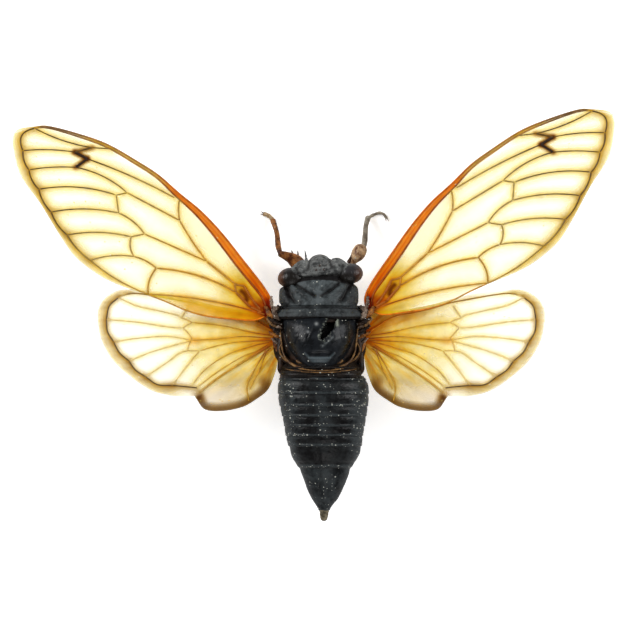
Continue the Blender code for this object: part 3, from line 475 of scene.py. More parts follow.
def waves(x, y, seed, longest):
    """Slow hills: a sum of sines in turned directions, each shorter than the last."""
    rng = np.random.default_rng(seed)
    total = 0
    for k in range(7):
        angle, phase = rng.uniform(0, 2 * math.pi, 2)
        length = longest / 1.45 ** k
        total = total + np.sin((x * math.cos(angle) + y * math.sin(angle)) * 2 * math.pi / length
                               + phase) / 1.3 ** k
    return total / 2.5


def inside_of(points, outline):
    """One inside a closed outline and nothing outside: the even-odd count of the outline's
    sides that a level line from the point crosses."""
    x, y = points[..., 0], points[..., 1]
    odd = np.zeros(x.shape, bool)
    for (x1, y1), (x2, y2) in zip(outline, np.roll(outline, -1, axis=0)):
        if y1 != y2:
            odd ^= ((y1 > y) != (y2 > y)) & (x < (x2 - x1) * (y - y1) / (y2 - y1) + x1)
    return odd


def spots(x, y, rows):
    """Sum of round soft spots: strength, place and width of each."""
    return sum(strength * near_line(np.hypot(x - cx, y - cy), width)
               for strength, cx, cy, width in rows)


def along_path(points, path, width):
    """One on a path of straight pieces and nothing far from it."""
    return near_line(distance_to(points, np.array(path, float)), width)


def fore_streaks(rows):
    """Sum of soft streaks on the forewing: strength, two ends, bow and width of each."""
    return sum(strength * along_path(fore_plan, bowed(start, end, bow, 6), width)
               for strength, start, end, bow, width in rows)


fore_cells = np.vstack([FORE_COSTA[:13], *fore_lines[:7], (410, 300), (372, 320), (350, 306)])
fore_rim = distance_to(fore_plan, np.vstack([curve_through(FORE_MARGIN, 200),
                                             curve_through(FORE_COSTA[12:], 12)]))
outside = np.where(inside_of(fore_plan, fore_cells), 0.0, 1.0) * soft_step(out_along, 12.0, 17.0)
to_tip = soft_step(out_along, 14, 24)
ray_angle = np.arctan2(y_plan - RAY_CENTRE[1], x_plan - RAY_CENTRE[0])
rays = waves(ray_angle * 70, from_hinge * 0.25, 23, 22)
across_band = costal_from / (costal_width + 0.5)
in_band = soft_step(1.08 - across_band, 0, 0.12)
inner_band = in_band * soft_step(x_plan, *BAND_TURN)
outer_band = in_band - inner_band
bright = near_line(across_band - 0.32, 0.24) + 0.8 * near_line(across_band - 0.74, 0.14)
dark_lines = (near_line(across_band, 0.10) + 0.8 * near_line(across_band - 0.56, 0.07)
              + near_line(across_band - 0.98, 0.09))
stigma = soft_step(x_plan, *STIGMA)
root_streak = fore_streaks(ROOT_STREAK)
amber = (0.18 + 0.06 * waves(x_plan, y_plan, 3, 60) + 0.27 * near_line(from_hinge, 120)
         + spots(x_plan, y_plan, AMBER_SPOTS) + fore_streaks(AMBER_STREAKS)
         + 0.22 * near_line(costal_from, 34) * soft_step(500 - x_plan, 0, 60)
         + 0.75 * near_line(fore_near, 2.4) + 0.42 * near_line(fore_near, 7.0)
         + 0.30 * to_tip * near_line(fore_near, 9.0) + 0.7 * rays * near_line(from_hinge, 50)
         + 0.55 * near_line(fore_border, 9.0) * to_tip * (1 - outside)
         + outside * (0.45 + 0.45 * near_line(fore_border, 6.0))
         + outer_band * (2.1 + 1.0 * dark_lines) * (1 - 0.6 * stigma))
amber = amber * (0.3 + 0.7 * soft_step(fore_rim, -1, 2.5))
orange = (inner_band * (2.7 + 0.8 * dark_lines - 0.5 * bright) + 1.5 * root_streak
          + fore_streaks(ORANGE_STREAKS)
          + 0.9 * near_line(fore_near, 2.2) * near_line(from_hinge, 75))
brown = (0.04 * near_line(fore_near, 3.0) + 0.06 * to_tip * near_line(fore_near, 6.0)
         + 0.35 * np.clip(rays, 0, 2) * near_line(from_hinge, 38) + 0.05 * outside
         + 0.45 * root_streak + spots(x_plan, y_plan, BROWN_SPOTS)
         + spots(x_plan, y_plan, [(0.38, *FORE_JUNCTIONS[corner], 5.5) for corner in BROWN_CORNERS])
         + fore_streaks([(strength, FORE_JUNCTIONS[a], FORE_JUNCTIONS[b], 0, 2.5)
                         for a, b, strength in BROWN_VEINS])
         + 3.2 * along_path(fore_plan, bowed(*BROWN_HOOK, 1, 5), 2.3)
         + 0.30 * near_line(fore_border - 0.5, 3.4) * to_tip + inner_band * 0.32 * dark_lines
         + outer_band * (0.05 + 0.30 * dark_lines)
         + in_band * stigma * (0.40 - 0.15 * soft_step(x_plan, *STIGMA_END)))
takes = (amber[..., None] * AMBER_TAKES + orange[..., None] * ORANGE_TAKES
         + brown[..., None] * BROWN_TAKES)
rear_zone = (near_line(distance_to(fore_plan, curve_through(FORE_MARGIN[2:7], 40)), 12)
             * soft_step(110 - from_hinge, 0, 40))[..., None]
over_hind = takes + rear_zone * ((0.85 + 0.4 * rays)[..., None] * ORANGE_TAKES + 0.16 * BROWN_TAKES)
sag = 0.05 * (1 - near_line(fore_near, 6)) + 0.03 * waves(x_plan, y_plan, 5, 30)
fore_middle = fore_height(fore_plan) - np.clip(sag, -0.15, 0.15)


def wing_place(hinge, left_hinge, droop=0.0):
    """The way from plan points to the frame for each side of a pair of wings."""
    return lambda side: lambda plan: to_world(plan, hinge, left_hinge if side < 0 else None, droop)


fore_place = wing_place(FORE_HINGE, FORE_HINGE_LEFT, FORE_DROOP)
lay_film("forewing", fore_plan, fore_middle, fore_place, film_colour(over_hind), film_colour(takes))


# The forewings' veins: hollow ribs of the same horn, stout and orange-brown at the root, thin
# and dark towards the margin. They are raised on both faces of the film and meet at junctions.
def ribs(lines, halves, heights, count):
    """Ribs along lines, all at once: each is an ellipse of its own half width and height,
    square to its line in plan, and drawn in to a point at both ends."""
    a = np.arange(8) * math.pi / 4
    paths = np.stack([curve_through(line, count) for line in lines])
    way = np.gradient(paths, axis=1)
    way = way / np.linalg.norm(way, axis=2, keepdims=True)
    across = np.stack([-way[..., 1], way[..., 0], 0 * way[..., 0]], axis=-1)
    end = np.sqrt(np.clip(1 - np.linspace(-1, 1, count) ** 24, 0, 1))[None, :, None, None]
    half = np.asarray(halves).reshape(len(lines), -1, 1, 1)
    tall = np.asarray(heights).reshape(len(lines), -1, 1, 1)
    wide = half * np.cos(a)[None, None, :, None] * across[:, :, None, :]
    high = tall * np.sin(a)[None, None, :, None] * np.array((0, 0, 1.0))
    return paths[:, :, None, :] + end * (wide + high)


def grids_to_piece(name, grids):
    """One mesh of many closed tubes of equal size: grids is tube, ring, corner, axis."""
    tubes, rings, sides, _ = grids.shape
    faces = quads(rings, sides, True)
    faces = (faces[None] + (np.arange(tubes) * rings * sides)[:, None, None]).reshape(-1, 4)
    return new_piece(name, grids.reshape(-1, 3), faces)


def vein_material(name):
    """Horn of the veins: painted by its attribute, streaked a little."""
    mat, tree, surface, place = material_of(name, 0.4)
    surface.inputs["Specular IOR Level"].default_value = 0.1
    grain = noise(tree, place, 1800.0, 4.0)
    painted(tree, surface, fit_range(tree, grain, 0.3, 0.7, 0.72, 1.3))
    emboss(tree, surface, 0.4, 0.00002, grain)
    return mat


def paint_ribs(piece, lines, colours):
    """Give each corner of a piece of ribs the colour of the nearest of the points that the
    ribs run through."""
    co = corner_places(piece)
    points = np.vstack([line[:, :2] for line in lines])
    tints = np.vstack(colours)
    nearest = np.empty(len(co), int)
    for start in range(0, len(co), 4000):
        gap = np.hypot(co[start:start + 4000, None, 0] - points[None, :, 0],
                       co[start:start + 4000, None, 1] - points[None, :, 1])
        nearest[start:start + 4000] = np.argmin(gap, axis=1)
    layer = piece.data.attributes.new("paint", "FLOAT_COLOR", "POINT")
    full = np.concatenate([tints[nearest], np.ones((len(co), 1))], axis=1)
    layer.data.foreach_set("color", full.astype(np.float32).ravel())


def lay_veins(wing, lines, height, place_of, halves, colours, count):
    """The veins of both wings of a pair, as ribs a little taller than they are wide."""
    mat = vein_material(wing + "_vein")
    for side, name in SIDES:
        place = place_of(side)
        paths = [np.column_stack([place(line), height(line)]) for line in lines]
        veins = grids_to_piece("%s_veins_%s" % (wing, name),
                               ribs(paths, halves, [1.15 * half for half in halves], count))
        paint_ribs(veins, paths, colours)
        give(veins, mat, "wing_amber", "%s_%s" % (wing, name))


costal = curve_through(FORE_COSTA[:13], 60)
inward = np.gradient(costal, axis=0)
inward = np.column_stack([-inward[:, 1], inward[:, 0]])
inward = inward / np.linalg.norm(inward, axis=1)[:, None]
band_inner = costal + inward * np.interp(costal[:, 0], *np.array(COSTAL_WIDTHS).T)[:, None]
rear_edge = curve_through(FORE_MARGIN[1:8], 60) - (0, 0.9)
ROOT_HORN, GOLD_HORN, OLIVE_HORN = (0.30, 0.078, 0.008), (0.44, 0.220, 0.030), (0.29, 0.190, 0.050)
DARK_HORN, BLACK_HORN = (0.100, 0.060, 0.018), (0.030, 0.017, 0.011)
ORANGE_HORN, RUST_HORN = (0.50, 0.115, 0.008), (0.26, 0.06, 0.008)
TAN_HORN, UMBER_HORN = (0.38, 0.18, 0.04), (0.20, 0.105, 0.04)


def shade_along(way, start, *steps):
    """Colours along a line: each step goes on to its own colour between two places."""
    total = np.zeros((len(way), 3)) + start
    last = start
    for low, high, colour in steps:
        total = total + soft_step(way, low, high)[:, None] * np.subtract(colour, last)
        last = colour
    return np.clip(total, 0, 1)


fore_lines += [rear_edge, costal + inward * 0.9, band_inner]
fore_colours = [shade_along(along_wing(line), ROOT_HORN, (2.5, 6, GOLD_HORN), (10, 19, OLIVE_HORN),
                            (19, 25, DARK_HORN)) for line in fore_lines]
for number in (10, 11):
    fore_colours[number][:] = BLACK_HORN
fore_colours[-3] = shade_along(rear_edge[:, 0], (0.60, 0.150, 0.006), (405, 460, GOLD_HORN))
for number, inner in ((-2, ORANGE_HORN), (-1, RUST_HORN)):
    fore_colours[number] = shade_along(fore_lines[number][:, 0], inner, (455, 480, TAN_HORN),
                                       (525, 555, UMBER_HORN))
lay_veins("forewing", fore_lines, fore_height, fore_place,
          [0.88 * vein[3] for vein in FORE_VEINS] + [0.085, 0.10, 0.09], fore_colours, 40)


# The hindwings' membranes: the same film below the forewings, deep amber at the root, clear
# outside, bordered brown, with the tan rear lobe folded once along its thick orange vein.
HIND_Z = 6.15
HIND_HINGE = (366.0, 338.0)
HIND_HINGE_LEFT = (276.4, 338.0)
HIND_COSTA = ((364.0, 341.0), (364.6, 333), (367.5, 321), (373.5, 312), (385, 310.5), (398, 310.5),
              (413, 308.3), (430, 305), (442.2, 301.8), (455.2, 298.2), (480.2, 292.1),
              (500, 290.6), (515, 289.2), (525.3, 290.4), (534.2, 295.0), (541.0, 301.6),
              (545.0, 311.0), (545.3, 320.6))
HIND_MARGIN = ((364.0, 341.0), (363.6, 347), (364.7, 362), (368.4, 376.2), (375.0, 390.4),
               (387.4, 400.2), (400.2, 407.2), (420, 411.2), (437.6, 409.7), (445.8, 399.6),
               (448.2, 396.4), (452.2, 396.6), (470.2, 396.2), (490.8, 391.0), (510.8, 378.0),
               (529.2, 361.0), (541.2, 340.4), (545.3, 320.6))
HIND_VEINS = (  # half width in millimetres and the points that the vein runs through
    (0.11, (366, 336), (372, 330), (380, 325), (394, 316.6), (412, 312.9), (430, 308.9),
     (440, 305.9), (450, 302.9), (465, 300), (485, 296.4), (505, 293.4), (515, 294),
     (524.2, 297.6)),
    (0.10, (524.2, 297.6), (533.2, 306), (536.2, 319.5)),
    (0.10, (536.2, 319.5), (535, 331.5), (528.8, 342)),
    (0.10, (528.8, 342), (523.2, 352.5), (513.6, 361)),
    (0.10, (513.6, 361), (507, 370), (496.9, 376.8)),
    (0.10, (496.9, 376.8), (485, 384.6), (470.3, 385.4)),
    (0.10, (470.3, 385.4), (458, 386.6), (445, 388)),
    (0.07, (524.2, 297.6), (506, 305.8), (485, 310.5), (465.5, 315.3), (461.3, 317.9)),
    (0.07, (453.4, 305.8), (457, 311.5), (461.3, 317.9)),
    (0.08, (461.3, 317.9), (456, 319.6), (450.3, 322.4)),
    (0.08, (450.3, 322.4), (455.4, 325), (459.5, 328)),
    (0.08, (459.5, 328), (455, 332.6), (451, 338), (452, 341)),
    (0.09, (450.3, 322.4), (420, 325.8), (390, 332.5), (370, 335.5)),
    (0.07, (536.2, 319.5), (506, 322.1), (475, 326.8), (459.5, 328)),
    (0.07, (528.8, 342), (506, 338.4), (475, 336.5), (452, 340)),
    (0.07, (513.6, 361), (491, 352), (470, 345.8), (452, 341)),
    (0.10, (368, 338.5), (400, 336.5), (430, 339.3), (452, 340)),
    (0.08, (452, 341), (454, 346), (455, 351)),
    (0.07, (496.9, 376.8), (475.5, 362.5), (460.3, 352), (442.9, 350.8)),
    (0.09, (442.9, 350.8), (425, 345.8), (405, 342), (368, 340.5)),
    (0.07, (470.3, 385.4), (455.5, 366), (442.9, 350.8)),
    (0.08, (450, 384.5), (437, 369.3), (415, 354.7), (390, 346), (372, 342)),
    (0.08, (445, 387), (425, 372), (400.3, 356.8), (388, 352), (373, 344)),
    (0.17, (442.4, 392), (425, 378.4), (402.4, 363.7), (380, 350), (372, 346)),
    (0.09, (371, 348), (376, 352), (383, 370), (388, 380), (393, 390)),
    (0.11, (376, 349), (391, 375), (395.5, 388), (393.5, 402)),
)
HIND_ROWS, HIND_ACROSS = 240, 150
HIND_ROOT = (366, 338)         # where the colours of the root spread from
HIND_RAYS = (356, 337)         # where the rays of the root meet
MARGIN_SPOTS = ((1.3, 444, 397, 5.5),)
LOBE_SPOT = (379.5, 381.5)
LOBE_STREAK = ((370.5, 366), (374, 384), (384, 396))
MARGIN_STREAK = ((446, 392), (462, 386.5), (478, 385))
FORK_SPOT = (448, 341)


def hind_height(plan):
    """Height of the hindwing's middle: the same rise, with the rear lobe bent down."""
    rear = np.clip((plan[..., 1] - 350.0) * SCALE / 6.0, 0, 1)
    return HIND_Z + WING_RISE * (plan[..., 0] - FORE_HINGE[0]) * SCALE - 0.5 * rear ** 2


hind_place = wing_place(HIND_HINGE, HIND_HINGE_LEFT)


hind_plan = ruled(curve_through(HIND_COSTA, HIND_ROWS), curve_through(HIND_MARGIN, HIND_ROWS),
                  HIND_ACROSS)
hind_lines = [curve_through(vein[1:], 20) for vein in HIND_VEINS]
hind_near = np.min([distance_to(hind_plan, line) for line in hind_lines], axis=0)
hind_border = distance_to(hind_plan, np.vstack(hind_lines[1:7]))
hx, hy = hind_plan[..., 0], hind_plan[..., 1]
hind_rim = distance_to(hind_plan, np.vstack([curve_through(HIND_COSTA[10:], 60),
                                             curve_through(HIND_MARGIN[::-1], 200)]))
hind_root = np.hypot(hx - HIND_ROOT[0], hy - HIND_ROOT[1])
hind_hills = waves(hx, hy, 11, 45)
fold = hind_lines[23]
hind_cells = np.vstack([hind_lines[0], *hind_lines[1:7], fold, (366, 345)])
beyond = np.where(inside_of(hind_plan, hind_cells), 0.0, 1.0)
lobe = soft_step((hy - 350) - (hx - 380) * 0.69, -1, 4) * soft_step(hx, 368, 374)
strip = beyond * soft_step(hx, 450, 475) * (1 - soft_step(-hy, -296.5, -293.5)
                                            * soft_step(515 - hx, 0, 12))
strip = strip * (1 - soft_step(lobe, 0.4, 0.6) * soft_step(452 - hx, 0, 4))
strip = strip * (1 - 0.85 * soft_step(312 - hy, 0, 4) * soft_step(512 - hx, 0, 20))
lobe_far = lobe * soft_step(hy, 362, 382)
rim_dark = soft_step(10.5 - hind_rim, 0, 9.0) * lobe * soft_step(hy, 372, 390)
reach = hind_root + 9 * hind_hills + 0.10 * (hy - 340)
spread = 1 / (1 + np.exp((reach - 88) / 7.0))
front_edge = near_line(distance_to(hind_plan, hind_lines[0]), 9) * soft_step(440 - hx, 0, 40)
hind_amber = (0.07 + 0.95 * spread + 1.45 * near_line(hind_root, 34) * (1 - 0.5 * lobe_far)
              - 0.75 * lobe * soft_step(hy, 376, 394) * spread + 0.45 * front_edge
              + 0.55 * near_line(hind_near, 2.4) + 0.24 * near_line(hind_near, 6.0)
              + strip * (0.55 + 0.35 * near_line(hind_border, 4.0)) + 0.3 * rim_dark)
hind_amber = hind_amber * (1 + 0.22 * hind_hills)
streaks = waves(hx * 0.4, hy * 1.6, 19, 14)
hind_brown = (0.8 * near_line(hind_root, 13) + 0.04 * near_line(hind_root, 38) + 0.14 * front_edge
              + strip * (0.42 + 0.20 * streaks) * soft_step(hind_rim, -1.5, 4.5)
              + 0.60 * near_line(hind_border, 3.4) * soft_step(hind_root, 84, 100)
              + 0.06 * near_line(hind_near, 2.2) + 0.36 * lobe_far + 1.3 * rim_dark
              + spots(hx, hy, MARGIN_SPOTS)
              + spots(hx, hy, [(0.35, *vein[-1], 5.0) for vein in hind_lines[1:6]])
              + 1.1 * near_line(np.hypot(hx - LOBE_SPOT[0], (hy - LOBE_SPOT[1]) / 1.3), 4.2)
              + 0.5 * along_path(hind_plan, fold, 1.6)
              + 0.30 * along_path(hind_plan, LOBE_STREAK, 3.5)
              + 0.25 * along_path(hind_plan, MARGIN_STREAK, 4.0))
hind_fade = 0.35 + 0.65 * soft_step(hind_rim, -1, 2.0)
hind_amber, hind_brown = hind_amber * hind_fade, hind_brown * hind_fade
ray_angle = np.arctan2(hy - HIND_RAYS[1], hx - HIND_RAYS[0])
hind_rays = waves(ray_angle * 90, hind_root * 0.2, 37, 24)
hind_amber = np.maximum(hind_amber * (1 + 0.35 * hind_rays * spread), 0)
hind_orange = ((0.75 + 0.9 * hind_rays) * near_line(hind_root, 30) + 0.9 * front_edge
               + 0.28 * np.clip(hind_rays, 0, 2) * near_line(hind_root, 58)
               + 0.55 * near_line(np.hypot((hx - FORK_SPOT[0]) / 1.5, hy - FORK_SPOT[1]), 4.5)
               + 0.30 * along_path(hind_plan, hind_lines[16], 3.0) * soft_step(hx, 380, 430))
hind_paint = film_colour(np.maximum(hind_amber, 0.05)[..., None] * AMBER_TAKES
                         + hind_orange[..., None] * ORANGE_TAKES
                         + np.maximum(hind_brown, 0.0)[..., None] * BROWN_TAKES
                         + rim_dark[..., None] * (0.75, 0.85, 1.0))
pleat = 0.10 * np.sin(np.clip(distance_to(hind_plan, fold) / 7.0, 0, 3) * math.pi) * lobe
hind_sag = (0.045 * (1 - near_line(hind_near, 5))
            + (0.035 * waves(hx, hy, 9, 26) + pleat) * (1 - 0.85 * near_line(hind_near, 3.0)))
hind_middle = hind_height(hind_plan) - np.clip(hind_sag, -0.17, 0.17)
lay_film("hindwing", hind_plan, hind_middle, hind_place, hind_paint, hind_paint)


# The hindwings' veins, finer than the forewings': red-orange at the root, gold, then pale brown.
# The front one goes from orange to brown, and those that run round the margin are dark.
hind_colours = [shade_along(np.hypot(*(line - HIND_ROOT).T), (0.30, 0.075, 0.008),
                            (12, 45, (0.50, 0.26, 0.028)), (70, 110, (0.56, 0.40, 0.158)))
                for line in hind_lines]
hind_colours[0] = shade_along(hind_lines[0][:, 0], (0.55, 0.15, 0.008),
                              (415, 470, (0.34, 0.18, 0.03)))
for number in range(1, 7):
    hind_colours[number][:] = (0.095, 0.060, 0.026)
lay_veins("hindwing", hind_lines, hind_height, hind_place, [0.68 * vein[0] for vein in HIND_VEINS],
          hind_colours, 36)


# The head capsule: black, finely pitted horn, broad and short, with a low ledge over each
# antenna, a furrow between the eyes and the back rolled over the neck.
BODY_X = 0.5                   # middle line of the chest
HEAD_TURN = math.radians(3.97)
NECK = (0.605, 3.95)
EYES = {"left": (-3.20, 0.20, 6.36), "right": (3.20, 0.22, 6.36)}
EYE_RADII = (1.50, 1.15, 1.20)
SKULL_MOUNDS = (  # height, place across and ahead, half widths
    (0.16, 1.90, 1.30, 0.70, 0.5), (-0.22, 1.08, 1.35, 0.22, 0.8), (0.12, 0, 0.85, 0.70, 0.5),
    (0.10, 1.6, 0.50, 0.8, 0.22), (-0.14, 0.55, 1.25, 0.22, 0.16), (-0.08, 0, 0.9, 0.07, 0.8),
)
HEAD_RINGS = (  # forward, centre height, half width, up, down
    (0.15, 5.8, 3.15, 1.70, 2.10),
    (0.40, 5.8, 3.45, 1.88, 2.30),
    (0.80, 5.8, 3.80, 1.90, 2.30),
    (1.20, 5.9, 3.72, 1.66, 1.90),
    (1.50, 5.95, 3.10, 1.40, 1.40),
    (1.75, 6.0, 2.55, 1.12, 1.00),
    (1.95, 6.0, 2.00, 0.80, 0.70),
    (2.05, 6.0, 1.30, 0.55, 0.45),
)


def on_head(points):
    """From the head's own frame, with the neck at x = y = 0, to the object's frame."""
    p = np.asarray(points, float)
    c, s = math.cos(HEAD_TURN), math.sin(HEAD_TURN)
    return np.stack([NECK[0] + c * p[..., 0] - s * p[..., 1],
                     NECK[1] + s * p[..., 0] + c * p[..., 1], p[..., 2]], axis=-1)


def read_table(table, rows):
    """Columns of a table of rings, read at even places along a smooth curve through it."""
    return curve_through(table, rows).T


def hoops(y, x, z, half, up, down, power=2.4, shear=0.0, lean=0.0, sides=160):
    """Superellipses across the body, one for each y: the cosine and sine of the angle, raised
    to two over the power, times the half width and the height above or below the centre."""
    a = np.arange(sides) * 2 * math.pi / sides
    c, s = np.cos(a), np.sin(a)
    y, x, z, half, up, down, shear, lean = ((np.asarray(value, float) + 0 * y)[:, None] for value in
                                            (y, x, z, half, up, down, shear, lean))
    px = half * np.sign(c) * np.abs(c) ** (2 / power)
    pz = np.where(s >= 0, up, down) * np.sign(s) * np.abs(s) ** (2 / power)
    return np.stack([x + px, y + shear * px + lean * pz, z + pz], axis=-1)


def outward(grid):
    """Unit normals of a grid that wraps round its columns, pointing away from its middle."""
    along = np.gradient(grid, axis=0)
    round_it = np.roll(grid, -1, axis=1) - np.roll(grid, 1, axis=1)
    n = np.cross(round_it, along)
    n = n / np.maximum(np.linalg.norm(n, axis=2, keepdims=True), 1e-9)
    middle = grid.mean(axis=1, keepdims=True)
    return n * np.sign(np.sum(n * (grid - middle)) + 1e-12)


def capped(grid, roll=(0.06, 0.06)):
    """A skin with its two open ends rolled in and closed to a point at their middles."""
    def end(row, inner, depth):
        middle = row.mean(axis=0)
        way = middle - inner.mean(axis=0)
        way = way / np.linalg.norm(way)
        size = np.mean(np.linalg.norm(row - middle, axis=1))
        steps = [(depth / size * 0.4, 0.75), (depth / size, 1), (0.35, 1), (0.7, 1), (1, 1)]
        return [row + share * (middle - row) + way * depth * out for share, out in steps]
    front = end(grid[0], grid[1], roll[0])[::-1]
    rear = end(grid[-1], grid[-2], roll[1])
    return np.concatenate([np.array(front), grid, np.array(rear)])


def skin_piece(name, grid, floor=None):
    """Closed piece from a skin that wraps round and is closed at both ends. Where it has a
    floor, what would be lower is brought up to it."""
    if floor is not None:
        grid = np.concatenate([grid[..., :2], np.maximum(grid[..., 2:], floor)], axis=-1)
    return new_piece(name, grid.reshape(-1, 3), quads(grid.shape[0], grid.shape[1], True))


def put(name, grid, mat, slot, *nodes, floor=None):
    """Skin piece with its material and solids; the slot is not used."""
    return give(skin_piece(name, grid, floor), mat, slot, *nodes)


horn, group_in, group_out = node_group(
    "horn_grain", (("Vector", "NodeSocketVector", (0, 0, 0)), ("Pits", "NodeSocketFloat", 6500.0),
                   ("Patches", "NodeSocketFloat", 700.0),
                   ("Dust", "NodeSocketFloat", 0.2), ("Dusty", "NodeSocketFloat", 0.0)),
    (("Height", "NodeSocketFloat"), ("Bloom", "NodeSocketFloat"), ("Dust", "NodeSocketFloat")))
place_in = group_in.outputs["Vector"]
pits = add_node(horn, "ShaderNodeTexVoronoi", {"feature": "SMOOTH_F1"}, Vector=place_in,
                Scale=group_in.outputs["Pits"], Smoothness=0.4)
rough = noise(horn, place_in, 2600.0, 5.0, Roughness=0.6)
cloud = noise(horn, place_in, group_in.outputs["Patches"], 6.0, Roughness=0.7)
bloom = fit_range(horn, cloud, 0.40, 0.64)
grains = add_node(horn, "ShaderNodeTexVoronoi", Vector=place_in, Scale=5400.0, Randomness=1.0)
split = add_node(horn, "ShaderNodeSeparateColor", _0=grains.outputs["Color"])
ragged = figure(horn, "MULTIPLY_ADD", noise(horn, place_in, 9000.0), 0.35,
                grains.outputs["Distance"])
grain_size = fit_range(horn, split.outputs[1], to_low=0.28, to_high=0.66)
sharp = fit_range(horn, figure(horn, "SUBTRACT", grain_size, ragged), -0.02, 0.05)
share = figure(horn, "MULTIPLY_ADD", group_in.outputs["Dusty"], 0.9, group_in.outputs["Dust"])
chosen = figure(horn, "LESS_THAN", split.outputs[0], figure(horn, "MULTIPLY", share, bloom))
height = figure(horn, "MULTIPLY_ADD", pits.outputs["Distance"], 0.7, rough)
for label, output in (("Height", height), ("Bloom", bloom),
                      ("Dust", figure(horn, "MULTIPLY", sharp, chosen))):
    horn.links.new(output, group_out.inputs[label])


def horn_material(name, dark, pale, roughness, pits=6500.0, dust=0.2, depth=0.00002, bump=0.5,
                  dust_colour=(0.42, 0.42, 0.37, 1), patches=700.0, shine=0.16):
    """Horn: a dark paint under a patchy pale bloom, fine pits, and grains of dust. Painted
    shade turns furrows, seams, gaps and undersides black, by a corner attribute."""
    mat, tree, surface, place = material_of(name, roughness)
    surface.inputs["Specular IOR Level"].default_value = shine
    dusty = read_attribute(tree, "dusty")["Fac"]
    grain = add_node(tree, "ShaderNodeGroup", {"node_tree": horn}, Vector=place, Pits=pits,
                     Patches=patches, Dust=dust, Dusty=dusty).outputs
    greyed = figure(tree, "MULTIPLY_ADD", dusty, 0.8, grain["Bloom"], clamp=True)
    paint = lay_between(tree, grain["Dust"], lay_between(tree, greyed, dark, pale), dust_colour)
    # Painted shade: the corner attribute blends the paint towards black.
    shaded_paint = lay_between(tree, read_attribute(tree, "painted_shade")["Fac"], paint, (0.003, 0.002, 0.002, 1))
    tree.links.new(shaded_paint, surface.inputs["Base Color"])
    gloss = fit_range(tree, grain["Bloom"], to_low=roughness - 0.06, to_high=roughness + 0.12)
    dull = add_node(tree, "ShaderNodeMix", _0=grain["Dust"], _2=gloss, _3=0.85)
    tree.links.new(dull.outputs[0], surface.inputs["Roughness"])
    emboss(tree, surface, bump, depth, grain["Height"])
    return mat


def stroke(x, y, width, *points):
    """Soft line through the points: a bell across the distance from it."""
    return along_path(np.stack([x, y], axis=-1), points, width)


def bell(x, y, cx, cy, wx, wy):
    """Smooth mound over (cx, cy) with the given half widths."""
    return np.exp(-((x - cx) / wx) ** 2 - ((y - cy) / wy) ** 2)


def mounds(x, y, rows):
    """Sum of mounds and dips: height, middle and half widths of each."""
    return sum(height * bell(x, y, *shape) for height, *shape in rows)


def set_corner_value(piece, name, amount):
    """Write a value at each corner, from a function of its place in millimetres."""
    co = corner_places(piece)
    layer = piece.data.attributes.new(name, "FLOAT", "POINT")
    layer.data.foreach_set("value", np.clip(amount(*co.T), 0, 1).astype(np.float32))


head_horn = horn_material("head_horn", (0.024, 0.025, 0.025, 1), (0.165, 0.170, 0.165, 1), 0.5,
                          pits=4200.0, dust=0.09, depth=0.00005, bump=1.0, patches=1500.0)
y, z, half, up, down = read_table(HEAD_RINGS, 64)
skull = hoops(y, 0.0, z, half, up, down, 3.1, sides=240)
side_on, ahead = np.abs(skull[..., 0]), skull[..., 1]
top = soft_step(skull[..., 2], 6.3, 7.0)
relief = (mounds(side_on, ahead, SKULL_MOUNDS)
          - 0.20 * stroke(side_on, ahead, 0.26, (2.62, 1.7), (2.35, 0.3))
          + 0.05 * waves(skull[..., 0] * 10, ahead * 10, 21, 6)) * top
skull = skull + outward(skull) * relief[..., None]
bulge = 0.22 * (1 - np.clip(np.abs(skull[..., 0]) / 3.0, 0, 1) ** 2)
skull[..., 1] += bulge * soft_step(1.0 - skull[..., 1], 0, 0.9) - 0.14
plate = put("head_capsule", capped(on_head(skull), (0.15, 0.10)), head_horn, "cuticle_black",
            "head")


def head_painted_shade(x, y, z):
    """Painted shade: black in the furrow beside each eye and the one on the crown, in the pits
    round the simple eyes, at the back where the head meets the shield, behind the eyes and on the
    underside.
    """
    c, s = math.cos(HEAD_TURN), math.sin(HEAD_TURN)
    across, ahead = x - NECK[0], y - NECK[1]
    across, ahead = c * across + s * ahead, c * ahead - s * across
    sideways = np.abs(across)
    return (0.75 * stroke(sideways, ahead, 0.20, (2.62, 1.5), (2.30, 0.4))
            + 0.8 * stroke(sideways, ahead, 0.15, (1.05, 2.0), (1.34, 0.95))
            + 0.8 * bell(sideways, ahead, 0.50, 1.28, 0.20, 0.14)
            + 0.9 * soft_step(-ahead, -0.42, -0.12) + 0.8 * soft_step(-z, -5.9, -5.2)
            + 0.85 * soft_step(sideways, 2.2, 3.0) * soft_step(-ahead, -1.05, -0.45))


# Painted shade on the head capsule's furrows, pits, back and underside.
set_corner_value(plate, "painted_shade", head_painted_shade)

# The swollen face in front: two rows of cross ribs beside a smooth keel, then the lip plate
# that narrows down to the beak.
FACE_BOTTOM, FACE_TOP = 2.5, 7.0
FACE_RADII = (1.5, 1.65)
FACE_FORWARD, FACE_REAR = 0.95, 0.6
face_z = np.linspace(FACE_BOTTOM, FACE_TOP, 150)[:, None]
t = (face_z - FACE_BOTTOM) / (FACE_TOP - FACE_BOTTOM)
swell = np.sin(math.pi * np.clip(0.06 + 0.86 * t, 0, 1)) ** 0.55
a = np.arange(120)[None, :] * 2 * math.pi / 120
beside = 1 - np.exp(-(np.cos(a) / 0.30) ** 2)
cross = 0.5 - 0.5 * np.cos(2 * math.pi * (9 * t + 0.35 * np.abs(np.cos(a))))
groove = 1 - 0.055 * cross * beside * (np.sin(a) > -0.1) * soft_step(0.97 - t, 0, 0.1)
face = np.stack([FACE_RADII[0] * swell * groove * np.cos(a),
                 FACE_FORWARD + np.where(np.sin(a) > 0, FACE_RADII[1], FACE_REAR)
                 * swell * groove * np.sin(a), face_z + 0 * a], axis=-1)
put("face_ribs", capped(on_head(face), (0.1, 0.12)), head_horn, "cuticle_black", "head")


